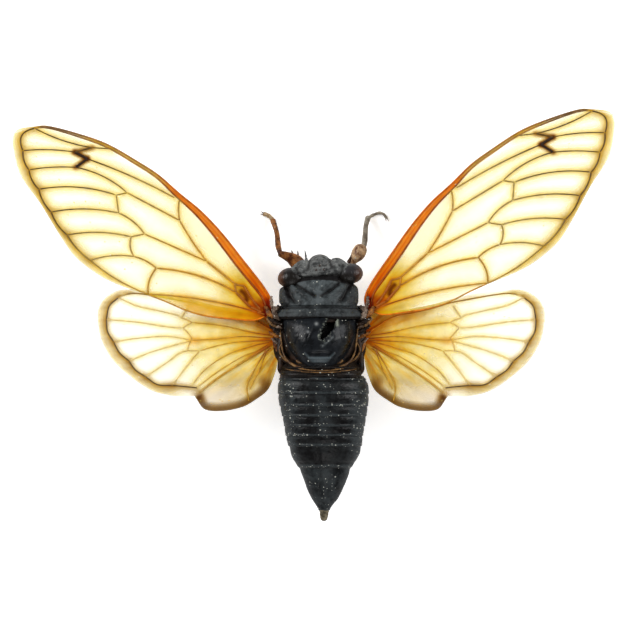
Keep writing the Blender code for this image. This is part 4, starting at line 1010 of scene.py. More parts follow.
def curved_line(points, rows):
    """Smooth line of rows points through the given ones, with a way and two cross directions
    at each: the second is level with the flattest plane of the line, the same all along."""
    line = curve_through(points, rows)
    way = np.gradient(line, axis=0)
    way = way / np.linalg.norm(way, axis=1)[:, None]
    flat = np.linalg.svd(way - 1e-6)[2][2]
    side = np.cross(way, flat)
    side = side / np.linalg.norm(side, axis=1)[:, None]
    return line, way, side, np.cross(side, way)


def limb(points, radii, rows=48, sides=20, flatten=1.0, shape=None):
    """Round limb along a smooth line, closed to a dome at both ends: each ring's radius is
    read from a smooth curve through radii, and flatten squeezes it one way."""
    line, way, side, other = curved_line(points, rows)
    size = curve_through(np.column_stack([np.linspace(0, 1, len(radii)), radii]), 400)
    r = np.interp(np.linspace(0, 1, rows), size[:, 0], size[:, 1])
    if shape is not None:
        r = r * shape(np.linspace(0, 1, rows))
    a = np.arange(sides) * 2 * math.pi / sides
    ring = (np.cos(a)[None, :, None] * side[:, None, :]
            + flatten * np.sin(a)[None, :, None] * other[:, None, :])
    dome = np.sin(np.linspace(0, math.pi / 2, 5))[:-1]
    back = np.sqrt(1 - dome ** 2)
    front = [line[0] - way[0] * r[0] * 0.8 * b + r[0] * d * ring[0] for d, b in zip(dome, back)]
    rear = [line[-1] + way[-1] * r[-1] * 0.8 * b + r[-1] * d * ring[-1]
            for d, b in zip(dome, back)][::-1]
    body = line[:, None, :] + r[:, None, None] * ring
    return np.concatenate([np.array(front), body, np.array(rear)])


lip = [(0, 0.95, 3.1), (0, 1.0, 2.75), (0, 0.9, 2.42)]
put("lip_plate", limb(on_head(lip), (0.8, 0.72, 0.5), 30, 40,
                      shape=lambda u: 1 - 0.05 * np.sin(u * 9 * math.pi) ** 2),
    head_horn, "cuticle_black", "head")
for side, name in SIDES:
    cheek = on_head([(side * 2.3, 1.0, 4.9), (side * 1.55, 1.35, 3.8), (side * 0.75, 1.1, 2.75)])
    put("cheek_" + name, limb(cheek, (0.62, 0.5, 0.34), 40, 28, 0.7), head_horn,
        "cuticle_black", "head")
    ledge = on_head([(side * 1.45, 1.66, 6.35), (side * 1.95, 1.66, 6.45),
                     (side * 2.45, 1.40, 6.4), (side * 2.85, 1.16, 6.35)])
    put("antenna_ledge_" + name, limb(ledge, (0.32, 0.43, 0.41, 0.32), 44, 28, 0.9), head_horn,
        "cuticle_black", "head")

# The three simple eyes on the crown: small amber domes, each in a low rim.
def dome_grid(centre, radii, rows=20, sides=32):
    """Ellipsoid as rings from its top pole to its bottom one."""
    v = np.linspace(0, math.pi, rows)[:, None]
    a = (np.arange(sides) * 2 * math.pi / sides)[None, :]
    unit = np.stack([np.sin(v) * np.cos(a), np.sin(v) * np.sin(a), np.cos(v) + 0 * a], axis=-1)
    return np.asarray(centre) + unit * np.asarray(radii)


simple_eye, tree, surface, place = material_of("simple_eye", 0.12)
tree.links.new(lay_between(tree, noise(tree, place, 5000.0), (0.010, 0.005, 0.004, 1),
                           (0.040, 0.017, 0.011, 1)), surface.inputs["Base Color"])
a = np.linspace(0, 2 * math.pi, 41)[:-1, None]
b = np.arange(12)[None, :] * 2 * math.pi / 12
rim = np.stack([(0.17 + 0.045 * np.cos(b)) * np.cos(a), (0.17 + 0.045 * np.cos(b)) * np.sin(a),
                0.04 * np.sin(b) + 0 * a], axis=-1)
rim = np.concatenate([rim, rim[:1]])
for number, spot in enumerate(((-0.42, 0.86, 7.80), (0.42, 0.86, 7.80), (0.0, 1.32, 7.52)), 1):
    centre = on_head(spot)
    put("ocellus_%d" % number, dome_grid(centre, (0.13, 0.13, 0.11)), simple_eye, "eye_brown",
        "head")
    put("ocellus_rim_%d" % number, rim + centre, head_horn, "cuticle_black", "head")

# The compound eyes: dark domes of fine facets, red-brown on the outside, with a painted grey sheen
# over their front.
eye_horn, tree, surface, place = material_of("compound_eye", 0.3)
surface.inputs["Specular IOR Level"].default_value = 0.2
facets = add_node(tree, "ShaderNodeTexVoronoi", Vector=place, Scale=14000.0, Randomness=0.25)
split = add_node(tree, "ShaderNodeSeparateXYZ", Vector=place).outputs
away = figure(tree, "ABSOLUTE", figure(tree, "SUBTRACT", split["X"], 0.0006))
cloud = noise(tree, place, 1300.0, 5.0)
outer = fit_range(tree, figure(tree, "MULTIPLY_ADD", cloud, 0.0012, away), 0.0043, 0.0050)
# Painted sheen: a grey cast over the front of each eye.
painted_sheen = fit_range(tree, figure(tree, "MULTIPLY_ADD", cloud, 0.0016, split["Y"]), 0.0050, 0.0064,
                 to_high=0.7)
paint = lay_between(tree, outer, (0.009, 0.0075, 0.0065, 1), (0.062, 0.021, 0.008, 1))
paint = lay_between(tree, painted_sheen, paint, (0.055, 0.053, 0.058, 1))
tree.links.new(paint, surface.inputs["Base Color"])
emboss(tree, surface, 0.35, 0.00002, facets.outputs["Distance"])
for name, spot in EYES.items():
    ball = dome_grid((0, 0, 0), EYE_RADII, 90, 140)
    dent = 0.02 * waves(ball[..., 0] * 10, ball[..., 2] * 10 + ball[..., 1] * 7, 31, 14)
    put("eye_" + name, on_head(ball * (1 + dent[..., None]) + np.array(spot)), eye_horn,
        "eye_brown", "eye_" + name)
    a = np.linspace(0, 2 * math.pi, 90)[:-1]
    socket = np.column_stack([np.sign(spot[0]) * (2.72 + 0.10 * np.cos(2 * a)),
                              spot[1] + 1.02 * np.cos(a), spot[2] - 0.03 + 1.06 * np.sin(a)])
    rim = limb(on_head(socket), (0.10, 0.10), 89, 12)[4:-4]
    put("eye_rim_" + name, np.concatenate([rim, rim[:1]]), eye_horn, "cuticle_black", "head")

# The antennae: a stout base joint, a short second one and a bristle of five fine joints. The
# left one reaches forward, the right one hangs.
ANTENNA_BASE = (1.42, 2.15, 5.50)
ANTENNA_TIPS = {"left": (0.10, 0.90, 0.25), "right": (0.5, -0.25, -1.9)}
for side, name in SIDES:
    x, y, z = ANTENNA_BASE
    y = y - (0.4 if side > 0 else 0.0)
    out, forward, rise = ANTENNA_TIPS[name]
    reach = np.array([(0, -0.6, 0.08), (0, -0.2, 0), (0.2 * out, 0.1, -0.05),
                      (0.45 * out, 0.2 + 0.4 * forward, 0.35 * rise), (out, 0.1 + forward, rise)])
    line = curve_through(on_head(reach * (side, 1, 1) + (side * x, y, z)), 60)
    put("antenna_base_" + name, limb(line[:17], (0.36, 0.32, 0.24, 0.18), 24, 20), head_horn,
        "cuticle_black", "head")
    put("antenna_joint_" + name, limb(line[17:26], (0.16, 0.18, 0.12), 16, 18), head_horn,
        "cuticle_black", "antenna_" + name)
    put("antenna_bristle_" + name,
        limb(line[26:], (0.10, 0.085, 0.06, 0.02), 60, 12,
             shape=lambda u: 1 + 0.22 * np.cos(u * 10 * math.pi) ** 8),
        head_horn, "cuticle_black", "antenna_" + name)

# The beak: a jointed sheath folded back under the chest between the legs.
beak = np.vstack([on_head([(0, 0.7, 1.95), (0, 0.0, 1.75)]),
                  (BODY_X, 2.2, 1.5), (BODY_X, 0.6, 1.25), (BODY_X, -0.7, 1.1)])
leg_red = horn_material("leg_horn", (0.055, 0.014, 0.004, 1), (0.38, 0.15, 0.040, 1), 0.4,
                        pits=7000.0, dust=0.06, bump=0.4, patches=1100.0, shine=0.2)
line = curve_through(beak, 80)
for number, start, end, radii, mat in ((1, 0, 22, (0.46, 0.47, 0.40), head_horn),
                                       (2, 21, 50, (0.38, 0.36, 0.30), head_horn),
                                       (3, 49, 80, (0.29, 0.24, 0.12), leg_red)):
    put("beak_%d" % number, limb(line[start:end], radii, 40, 24, 0.85), mat,
        "cuticle_black", "rostrum")


# The first back shield: one plate of dull black horn, with a raised wedge behind the head,
# slanting furrows beside it, a furrow across, and a smooth collar that flares at the back.
CHEST_Z = 5.8                  # height of the chest's widest line
SHIELD_RINGS = (  # y, half width, up, down
    (3.80, 2.70, 1.85, 2.10),
    (3.35, 3.55, 2.12, 2.35),
    (2.85, 4.10, 2.38, 2.50),
    (2.20, 4.22, 2.60, 2.60),
    (1.50, 4.22, 2.85, 2.65),
    (0.98, 4.20, 3.00, 2.65),
    (0.74, 4.24, 2.94, 2.65),
    (0.45, 4.52, 3.16, 2.70),
    (0.15, 4.78, 3.28, 2.75),
    (-0.20, 4.86, 3.34, 2.75),
    (-0.40, 4.78, 3.26, 2.70),
)
SHIELD_DUST = (  # amount, place across and along, half widths
    (0.5, 0.15, 1.25, 0.7, 0.35), (0.25, 0, 3.0, 1.5, 0.7), (0.3, 0, 0.40, 2.0, 0.10),
)
V_LEFT = ((-2.75, 3.28), (-1.45, 2.45), (-0.55, 1.96))     # arms of the wedge's furrows
V_RIGHT = ((2.10, 3.30), (1.35, 2.66), (0.24, 1.98))
FLANK_LEFT = ((-3.62, 2.9), (-3.35, 2.15), (-2.80, 1.35))  # furrows that cut off the flanks
FLANK_RIGHT = ((3.20, 3.0), (2.95, 2.35), (2.45, 1.60))


def shield_furrows(x, y, wide):
    """How deep a place of the first shield lies in one of its slanting furrows."""
    lines = (V_LEFT, V_RIGHT, FLANK_LEFT, FLANK_RIGHT)
    depths = [stroke(x, y, wide * size, *line) for line, size in zip(lines, (1, 1, 1.7, 1.7))]
    return np.max(depths, axis=0)


def shield_painted_shade(x, y, z):
    """Painted shade: black in the furrows and the groove before the collar, on the flanks and lower
    sides, at the front corners and the front edge under the head, and at the hind edge under the
    dome; the collar is a little darker as well.
    """
    ax = np.abs(x - BODY_X)
    return (0.95 * shield_furrows(x - BODY_X, y, 0.17) * (z > 6) + 0.35 * soft_step(-y, -0.70, -0.6)
            + 0.8 * near_line(y - 0.76 + 0.012 * ax ** 2, 0.09)
            + 0.62 * soft_step(ax, 3.0, 3.5) * (y > 0.75) + 0.6 * soft_step(-z, -6.8, -5.5)
            + 0.9 * soft_step(-y, 0.26, 0.38)
            + 0.6 * soft_step(y, 3.1, 3.7) * soft_step(ax, 1.9, 2.6)
            + 0.95 * soft_step(y + 0.05 * ax ** 2, 3.64, 3.76))


y, half, up, down = read_table(SHIELD_RINGS, 130)
slant = math.tan(HEAD_TURN) * np.clip((y - 2.5) / 1.3, 0, 1)
half = half + 0.15 * soft_step(y, 0.9, 1.3) * soft_step(-y, -3.3, -2.7)
shield = hoops(y, BODY_X - 0.09 * soft_step(y, 0.6, 1.2), CHEST_Z, half, up, down, 2.5, shear=slant,
               sides=260)
sx, sy = shield[..., 0] - BODY_X, shield[..., 1]
ax = np.abs(sx)
top = soft_step(shield[..., 2], 5.9, 7.2)
wedge_half = 0.30 + 1.75 * np.clip((sy - 1.9) / 1.7, 0, 1)
furrows = shield_furrows(sx, sy, 0.20)
relief = (0.14 * np.exp(-(ax / wedge_half) ** 8) * soft_step(sy, 0.9, 1.5)
          - 0.34 * furrows + 0.10 * bell(ax, sy, 3.75, 1.7, 0.4, 1.0)
          - 0.17 * near_line(sy - 0.80 + 0.012 * ax ** 2, 0.12)
          + 0.07 * bell(ax, sy, 1.8, 1.85, 0.9, 0.6)
          - 0.05 * stroke(ax, sy, 0.12, (1.1, 1.35), (2.3, 2.3))
          - 0.05 * near_line(sy - 0.30 - 0.05 * np.cos(ax), 0.08)
          + 0.03 * waves(sx * 10, sy * 10, 41, 7)) * top
shield = shield + outward(shield) * relief[..., None]
shield[..., 1] += 0.10 * np.cos(np.clip(sx / 2.6, -1, 1) * math.pi) * soft_step(0.6 - sy, 0, 0.8)
side_seam = -0.16 * near_line(shield[..., 2] - (4.6 + 0.5 * np.sin(shield[..., 1])), 0.14)
shield = shield + outward(shield) * side_seam[..., None]
shield_horn = horn_material("shield_horn", (0.016, 0.019, 0.020, 1), (0.070, 0.082, 0.086, 1), 0.5,
                            pits=4600.0, dust=0.04, depth=0.00004, bump=0.9, patches=1100.0)
plate = put("first_shield", capped(shield, (0.25, 0.12)), shield_horn, "cuticle_black", "pronotum")
set_corner_value(plate, "dusty", lambda x, y, z: mounds(x - BODY_X, y, SHIELD_DUST))
# Painted shade in the shield's furrows, on its flanks and lower sides, and at its edges.
set_corner_value(plate, "painted_shade", shield_painted_shade)

# The soft dark neck between the head and the shield, and the skin between the chest rings.
skin_dark = horn_material("joint_skin", (0.004, 0.003, 0.003, 1), (0.022, 0.013, 0.009, 1), 0.6,
                          pits=9000.0, dust=0.05)
for name, start, end, rows, x, z, half, up, down, power, shear, lean, nodes in (
        ("neck_skin", 4.25, 3.4, 16, BODY_X + 0.1, 5.75, 2.3, 1.45, 1.7, 2.4, 0.05, 0,
         ("head", "pronotum")),
        ("chest_skin_front", -0.1, -0.9, 12, BODY_X, CHEST_Z, 3.75, 2.95, 2.9, 2.4, 0, 0,
         ("pronotum", "mesothorax")),
        ("chest_skin_rear", -4.6, -5.9, 12, BODY_X + 0.1, CHEST_Z, 2.5, 2.7, 2.7, 2.4, 0, -0.18,
         ("mesothorax", "metathorax")),
        ("waist_skin", -6.5, -7.4, 12, 0.72, 5.2, 4.1, 2.7, 2.9, 2.3, 0, 0,
         ("metathorax", "abdomen"))):
    skin = hoops(np.linspace(start, end, rows), x, z, half, up, down, power, shear, lean, sides=80)
    put(name, capped(skin), skin_dark, "cuticle_black", *nodes)

# The great dome of the second ring: polished black horn with a pale raised cross at its back.
# A ragged slot is torn in it, with a scratch behind.
DOME_RINGS = (  # y, half width, up, down, lean
    (-0.40, 3.90, 3.05, 2.95, 0.0),
    (-0.75, 4.10, 3.40, 3.10, 0.0),
    (-1.40, 4.12, 3.80, 3.20, 0.0),
    (-2.20, 4.02, 4.00, 3.20, -0.04),
    (-2.90, 3.84, 4.05, 3.20, -0.08),
    (-3.55, 3.55, 3.95, 3.15, -0.11),
    (-4.10, 3.25, 3.75, 3.10, -0.14),
    (-4.50, 2.95, 3.50, 3.05, -0.16),
    (-4.85, 2.70, 3.35, 3.00, -0.18),
    (-5.12, 2.45, 3.20, 2.95, -0.18),
)
CROSS_Y = -5.05                # middle of the raised cross
TORN_SLOT = ((1.92, -0.50), (1.62, -1.35), (0.80, -2.72))
SCRATCH = ((1.95, -2.55), (0.75, -3.55))
CHIP = ((2.38, -0.65), (2.45, -1.25))
DOME_FURROWS = ((0.10, (0.55, -0.7), (1.35, -2.6)), (0.12, (2.1, -0.7), (2.6, -3.2)))
CROSS_ARM = ((1.10, -4.78), (1.62, -4.36))
y, half, up, down, lean = read_table(DOME_RINGS, 190)
dome = hoops(y, BODY_X, CHEST_Z, half, up, down, 2.3, lean=lean, sides=420)
dx, dy = dome[..., 0], dome[..., 1]
ax = np.abs(dx - BODY_X)
top = soft_step(dome[..., 2], 7.4, 8.2)
block = np.exp(-np.clip(ax / (1.28 - 0.75 * np.clip(-dy - 4.78, 0, 1)), 0, 3) ** 8
               - np.abs((dy - CROSS_Y) / 0.34) ** 6)
arms = stroke(ax, dy, 0.10, *CROSS_ARM)
hole_way = distance_to(dome[..., :2], np.array(TORN_SLOT))
ragged_edge = 0.09 * waves(dx * 10, dy * 10, 77, 7)
hole_half = 0.42 + 0.09 * near_line(dy + 1.5, 0.7) - 0.26 * np.clip(-dy - 1.9, 0, 1)
hole = soft_step(hole_half - hole_way + ragged_edge, -0.05, 0.12)
torn_rim = near_line(hole_way - hole_half - 0.13 - ragged_edge, 0.10)
relief = (top * (0.20 * block + 0.13 * arms - 0.10 * bell(ax, dy, 0, -4.35, 1.2, 0.22)
                 - 0.03 * sum(stroke(ax, dy, *furrow) for furrow in DOME_FURROWS)
                 - 0.05 * stroke(dx, dy, 0.16, *SCRATCH) + 0.05 * torn_rim)
          + 0.012 * waves(dx * 10, dy * 10, 51, 14))
dome = dome + outward(dome) * relief[..., None]
dome = dome - np.array((0, 0, 1.5)) * (hole * top)[..., None]
dome_horn = horn_material("dome_horn", (0.003, 0.0035, 0.004, 1), (0.011, 0.013, 0.016, 1), 0.30,
                          pits=7000.0, dust=0.03, depth=0.00002, bump=0.3, shine=0.16)
tree = dome_horn.node_tree
surface = tree.nodes["Principled BSDF"]
wear_and_shade = read_attribute(tree, "wear_and_shade")
before = surface.inputs["Base Color"].links[0].from_socket
tree.links.new(lay_between(tree, wear_and_shade["Alpha"], before, wear_and_shade["Color"]),
               surface.inputs["Base Color"])
scuff = (0.85 * stroke(dx, dy, 0.15, *SCRATCH)
         * soft_step(waves(dx * 10, dy * 10, 61, 6), -0.9, 0.3))
chips = (0.9 * stroke(dx, dy, 0.16, *CHIP)
         + spots(dx, dy, [(0.7, 0.42, -2.35, 0.10)])
         + 0.55 * torn_rim * (dx < 1.75) * soft_step(waves(dx * 10, dy * 10, 63, 5), 0, 0.5))
bruise = spots(dx, dy, [(0.75, 0.15, -1.12, 0.17), (0.55, -0.78, -2.0, 0.15)])
cross_edge = near_line(dy - CROSS_Y - 0.27, 0.05) * np.exp(-(ax / 1.15) ** 8)
cross_pale = np.clip(0.60 * block + 0.45 * arms + 0.7 * cross_edge, 0, 0.85)
edge_brown = soft_step(ax, half[:, None] * 0.95, half[:, None] * 0.995) * 0.4
wear_and_shade_paint = np.zeros(dx.shape + (4,))
for amount, colour in ((cross_pale * top, (0.075, 0.095, 0.105)), (scuff * top, (0.10, 0.11, 0.11)),
                       (np.clip(chips, 0, 1) * top, (0.24, 0.26, 0.21)),
                       (bruise * top, (0.26, 0.27, 0.27)), (edge_brown, (0.035, 0.016, 0.008))):
    amount = amount[..., None]
    wear_and_shade_paint = wear_and_shade_paint * (1 - amount) + amount * np.array((*colour, 1))
wear_and_shade_paint[..., :3] /= np.maximum(wear_and_shade_paint[..., 3:], 1e-3)
# The torn slot's dent is painted black: painted shade inside it. The rest of this paint is the
# dome's wear.
wear_and_shade_paint *= 1 - (hole * top)[..., None]
wear_and_shade_paint[..., 3] = np.maximum(wear_and_shade_paint[..., 3], hole * top)
plate = put("second_dome", capped(dome, (0.15, 0.15)), dome_horn, "cuticle_black", "mesothorax")
carry(plate, "wear_and_shade", dome, wear_and_shade_paint, 1e-3, (1, 200_003, 200_003 ** 2), strict=True)
set_corner_value(plate, "dusty", lambda x, y, z: 0.22 * bell(x, y, -0.9, -1.6, 1.6, 1.3))
# Painted shade, darkening the dome's lower sides.
set_corner_value(plate, "painted_shade", lambda x, y, z: 0.8 * soft_step(-z, -7.0, -6.0))

# The horn frame of the second ring: a thin ochre-brown flange down each flank of the dome,
# which turns in to the cross, and the ledge below it that the wings are hinged to.
ochre_horn = horn_material("ochre_horn", (0.045, 0.018, 0.006, 1), (0.27, 0.145, 0.05, 1), 0.42,
                           pits=5000.0, dust=0.10, bump=0.6, patches=1600.0)
brown_horn = horn_material("brown_horn", (0.004, 0.0025, 0.002, 1), (0.034, 0.016, 0.008, 1), 0.42,
                           pits=5000.0, dust=0.08, bump=0.8, patches=1500.0)
FRAME_LIMBS = (  # piece, horn, slot, radii, rings, sides, flattening; across, along and up
    ("dome_flange", ochre_horn, "cuticle_ochre", (0.07, 0.09, 0.09, 0.09, 0.10, 0.14, 0.10),
     90, 14, 0.7, ((4.35, -0.8, 6.6), (4.2, -1.8, 7.0), (4.05, -3.0, 7.22), (3.88, -4.2, 7.36),
                   (3.40, -5.15, 7.82), (2.6, -5.72, 8.25), (1.75, -5.98, 8.52))),
    ("chest_flank", brown_horn, "cuticle_black", (0.75, 0.9, 0.92, 0.95, 0.8), 70, 30, 0.75,
     ((4.15, 0.3, 5.9), (4.2, -1.2, 6.0), (4.2, -2.8, 6.0), (4.1, -4.2, 5.95), (3.6, -5.4, 5.9))),
    ("dome_apron", brown_horn, "cuticle_black", (0.30, 0.42, 0.45, 0.42, 0.30), 70, 24, 0.5,
     ((3.85, -1.2, 6.75), (3.62, -2.9, 6.95), (3.25, -4.1, 7.0), (2.6, -5.0, 7.15),
      (1.7, -5.45, 7.6))),
    ("chest_ledge", brown_horn, "cuticle_black", (0.16, 0.28, 0.34, 0.34, 0.28, 0.14), 70, 20, 0.6,
     ((4.15, -2.3, 6.6), (4.35, -3.3, 6.7), (4.35, -4.1, 6.75), (3.9, -4.9, 6.85),
      (3.1, -5.35, 7.05), (2.1, -5.62, 7.4))),
    ("chest_ledge_rim", ochre_horn, "cuticle_ochre", (0.06, 0.10, 0.11, 0.10, 0.06), 70, 12, 1.0,
     ((4.12, -3.2, 7.05), (4.42, -4.0, 7.12), (3.95, -4.9, 7.25), (3.0, -5.48, 7.5),
      (2.2, -5.66, 7.85))),
    ("chest_boss", ochre_horn, "cuticle_ochre", (0.13, 0.22, 0.18), 30, 20, 0.8,
     ((1.55, -5.72, 7.75), (1.95, -5.5, 7.85), (2.45, -5.2, 7.65))),
)
for side, name in SIDES:
    for part, mat, slot, radii, rings, sides, flatten, points in FRAME_LIMBS:
        wider = 1.04 if part == "dome_flange" and side < 0 else 1.0
        path = np.array(points) * (wider, 1, 1) * (side, 1, 1) + (BODY_X, 0, 0)
        if part in ("chest_ledge", "chest_ledge_rim"):
            path = curve_through(path, 60)
        put("%s_%s" % (part, name), limb(path, radii, rings, sides, flatten), mat, slot,
            "mesothorax")

# The wing hinges: small knotted plates, grey-brown, ochre and dark, crowded together between
# the flanks of the chest and the roots of the wings.
# The hinges' heavy pale dust is dust and also painted glints.
hinge_horn = horn_material("hinge_horn", (0.05, 0.030, 0.020, 1), (0.30, 0.215, 0.16, 1), 0.42,
                           pits=4200.0, dust=0.34, bump=1.0, dust_colour=(0.60, 0.56, 0.46, 1),
                           patches=1800.0)
root_horn = horn_material("root_horn", (0.07, 0.020, 0.006, 1), (0.34, 0.13, 0.025, 1), 0.4,
                          pits=5200.0, dust=0.06, bump=0.7, patches=1300.0)


HINGE_KNOTS = (  # letter, wing, horn, radii, then the points across, along and up
    ("a", "fore", hinge_horn, (0.26, 0.34, 0.20),
     (4.35, -0.55, 6.9), (4.85, -0.2, 7.3), (5.15, 0.45, 7.5)),
    ("b", "fore", brown_horn, (0.30, 0.36, 0.24),
     (4.2, -1.15, 7.0), (4.75, -0.95, 7.25), (5.55, -0.55, 7.4)),
    ("c", "fore", brown_horn, (0.26, 0.32, 0.22),
     (4.1, -2.0, 6.85), (4.7, -1.8, 6.95), (5.4, -1.3, 7.0)),
    ("d", "fore", hinge_horn, (0.16, 0.20, 0.14),
     (4.95, 0.35, 7.45), (5.25, 1.0, 7.6), (5.3, 1.8, 7.7)),
    ("e", "hind", root_horn, (0.22, 0.26, 0.18),
     (4.15, -2.75, 6.5), (4.75, -2.45, 6.5), (5.5, -2.05, 6.4)),
    ("f", "hind", root_horn, (0.28, 0.32, 0.22),
     (4.3, -4.3, 6.35), (4.75, -3.6, 6.4), (4.95, -2.9, 6.3)),
    ("g", "fore", ochre_horn, (0.15, 0.20, 0.15),
     (4.7, -1.45, 7.1), (5.2, -1.15, 7.4), (5.75, -0.6, 7.55)),
    ("h", "fore", root_horn, (0.24, 0.30, 0.22),
     (5.15, -0.3, 7.3), (5.6, 0.1, 7.55), (5.9, 0.7, 7.6)),
    ("i", "hind", hinge_horn, (0.12, 0.20, 0.13),
     (4.45, -3.3, 6.6), (4.85, -3.1, 6.7), (5.2, -2.8, 6.6)),
    ("j", "hind", brown_horn, (0.18, 0.22, 0.16),
     (4.4, -5.2, 6.1), (4.65, -4.7, 6.2), (4.85, -4.1, 6.2)),
    ("l", "fore", hinge_horn, (0.24, 0.42, 0.30),
     (4.55, 0.75, 6.6), (5.0, 0.25, 6.95), (5.25, -0.35, 7.1)),
    ("k", "fore", hinge_horn, (0.10, 0.16, 0.10),
     (4.2, -1.6, 7.1), (4.5, -1.45, 7.3), (4.8, -1.5, 7.25)),
)
for side, name in SIDES:
    for number, (letter, wing, mat, radii, *path) in enumerate(HINGE_KNOTS):
        grid = limb(np.array(path) * (side, 1, 1) + (BODY_X, 0, 0), radii, 44, 30, 0.7)
        lumps = waves(grid[..., 0] * 10 + 3 * grid[..., 2], grid[..., 1] * 10,
                      100 + number + side, 5)
        grid = grid + outward(grid) * (0.07 * lumps)[..., None]
        put("hinge_%s_%s" % (letter, name), grid, mat, "cuticle_ochre", "%swing_%s" % (wing, name))

# The third ring: a low brown-black band behind the dome, crossed by two fine ochre ridges, with
# a shoulder on each side that carries the hindwing.
BAND_RINGS = (  # y, half width, up, down, lean
    (-5.30, 4.00, 2.80, 2.95, -0.18),
    (-5.60, 4.30, 2.90, 3.00, -0.17),
    (-6.10, 4.45, 2.90, 3.10, -0.10),
    (-6.60, 4.50, 2.75, 3.20, -0.03),
    (-6.90, 4.45, 2.60, 3.15, 0.0),
)
BAND_X = BODY_X + 0.15
y, half, up, down, lean = read_table(BAND_RINGS, 70)
band = hoops(y, BAND_X, CHEST_Z, half, up, down, 2.4, lean=lean, sides=300)
bx, by = np.abs(band[..., 0] - BAND_X), band[..., 1]
top = soft_step(band[..., 2], 6.3, 7.4)
dip = 0.22 * near_line(bx, 1.2)
relief = (0.10 * near_line(by + 5.95 - dip, 0.07) + 0.08 * near_line(by + 6.35 - 0.5 * dip, 0.06)
          - 0.10 * near_line(by + 6.15 - dip, 0.09) - 0.10 * near_line(by + 6.6, 0.10)
          + 0.10 * bell(bx, by, 2.6, -6.0, 1.0, 0.3)
          + 0.03 * waves(bx * 10, by * 10, 71, 8)) * top
band = band + outward(band) * relief[..., None]
band_horn = horn_material("band_horn", (0.002, 0.0015, 0.0015, 1), (0.013, 0.008, 0.005, 1), 0.40,
                          pits=5000.0, dust=0.05, bump=0.8, patches=1500.0)
put("third_band", capped(band, (0.2, 0.2)), band_horn, "cuticle_ochre", "metathorax")


def table_at(table, y, column):
    """Column of a table of rings at y, straight between its rows."""
    table = np.asarray(table)
    return np.interp(-y, -table[:, 0], table[:, column])


u = np.linspace(-1, 1, 60)
for number, line_y, reach, lift, bend in ((1, -5.80, 3.3, 0.04, 0.42), (2, -6.14, 3.9, 0.03, 0.30)):
    ridge_y = line_y - 0.10 * np.exp(-(u * 2.6) ** 2) + bend * u ** 2
    half, up, lean = (table_at(BAND_RINGS, ridge_y, column) for column in (1, 2, 4))
    rise = up * (1 - np.abs(u * reach / half) ** 2.4) ** (1 / 2.4) + lift
    path = np.column_stack([BAND_X + u * reach, ridge_y + lean * rise, CHEST_Z + rise])
    put("third_band_ridge_%d" % number, limb(path, (0.03, 0.07, 0.05, 0.07, 0.03), 80, 12),
        ochre_horn, "cuticle_ochre", "metathorax")
for side, name in SIDES:
    x = BAND_X + side * 4.35
    shoulder = [(x - side * 0.7, -6.6, 5.7), (x - side * 0.05, -6.2, 6.15), (x, -5.4, 6.3),
                (x + side * 0.05, -4.4, 6.25)]
    put("shoulder_" + name, limb(shoulder, (0.5, 0.46, 0.40, 0.34), 50, 28), brown_horn,
        "cuticle_ochre", "metathorax", "hindwing_" + name)

# The abdomen: eight rings of dull blue-black horn. Each back plate ends in a smooth lip over
# the next and meets the belly plate along a fold; the belly is flat where it lies on the card.
PLATE_ENDS = (-7.31, -8.85, -10.22, -11.33, -12.44, -13.49, -14.6, -16.95)
PLATE_STEP = 0.15
BELLY_X = 0.95                 # middle line of its back
BELLY_POWER = 2.15             # roundness of its hoops: two is an ellipse
BELLY = (  # y, middle line x, half width, centre height, up, down
    (-7.05, 0.80, 4.72, 5.0, 3.35, 3.30),
    (-7.86, 0.88, 4.98, 4.9, 3.60, 3.70),
    (-9.50, 0.94, 4.97, 4.6, 3.75, 4.15),
    (-11.70, 1.03, 4.57, 4.2, 3.60, 4.45),
    (-13.60, 1.03, 4.24, 3.85, 3.30, 4.15),
    (-15.00, 1.13, 3.96, 3.55, 3.00, 3.50),
    (-16.00, 1.09, 3.55, 3.35, 2.72, 3.15),
    (-16.90, 1.09, 2.98, 3.15, 2.42, 2.75),
    (-18.30, 1.13, 2.38, 2.90, 1.97, 2.10),
    (-19.40, 1.09, 1.96, 2.65, 1.55, 1.70),
    (-20.48, 1.07, 1.42, 2.38, 1.05, 1.15),
    (-21.40, 1.01, 0.78, 2.13, 0.62, 0.75),
    (-22.69, 0.98, 0.34, 1.75, 0.32, 0.32),
)


def belly_at(y, *columns):
    """Columns of the abdomen's table at y, read along a smooth curve through it."""
    table = curve_through(BELLY, 400)
    return [table_at(table, y, column) for column in columns]


def belly_hoops(y, grow, sides=300):
    """Hoops of the abdomen at the given y, grown by grow."""
    x, half, z, up, down = belly_at(y, 1, 2, 3, 4, 5)
    return hoops(y, x, z, half + grow, up + grow, down + 0.4 * grow, BELLY_POWER, sides=sides)


abdomen_horn = horn_material("abdomen_horn", (0.004, 0.0045, 0.005, 1), (0.026, 0.031, 0.033, 1),
                             0.36, pits=5600.0, dust=0.02, depth=0.00003, bump=0.7, patches=900.0,
                             shine=0.15)
belly_horn = horn_material("belly_horn", (0.012, 0.009, 0.007, 1), (0.07, 0.045, 0.026, 1), 0.45,
                           pits=5600.0, dust=0.08, bump=0.6)


def plate_dust_and_sheen(x, y, z, end):
    """Dust that lies along a plate's lip and down the middle line, paler flanks, and near the
    abdomen's front a pale patch that is dust and painted sheen.
    """
    across = np.abs(x - BELLY_X)
    lip_line = near_line(y - end - 0.13, 0.13) * (0.45 + 0.55 * soft_step(-across, -3.4, -2.2))
    # The pale patch at y -7.85 is dust and painted sheen.
    return ((z > 4.2) * (lip_line + 0.75 * bell(x, y, BELLY_X, -10.9, 0.75, 1.9))
            + 0.35 * soft_step(across, 3.0, 3.7) + 0.95 * bell(x, y, 0.75, -7.85, 1.15, 0.5))


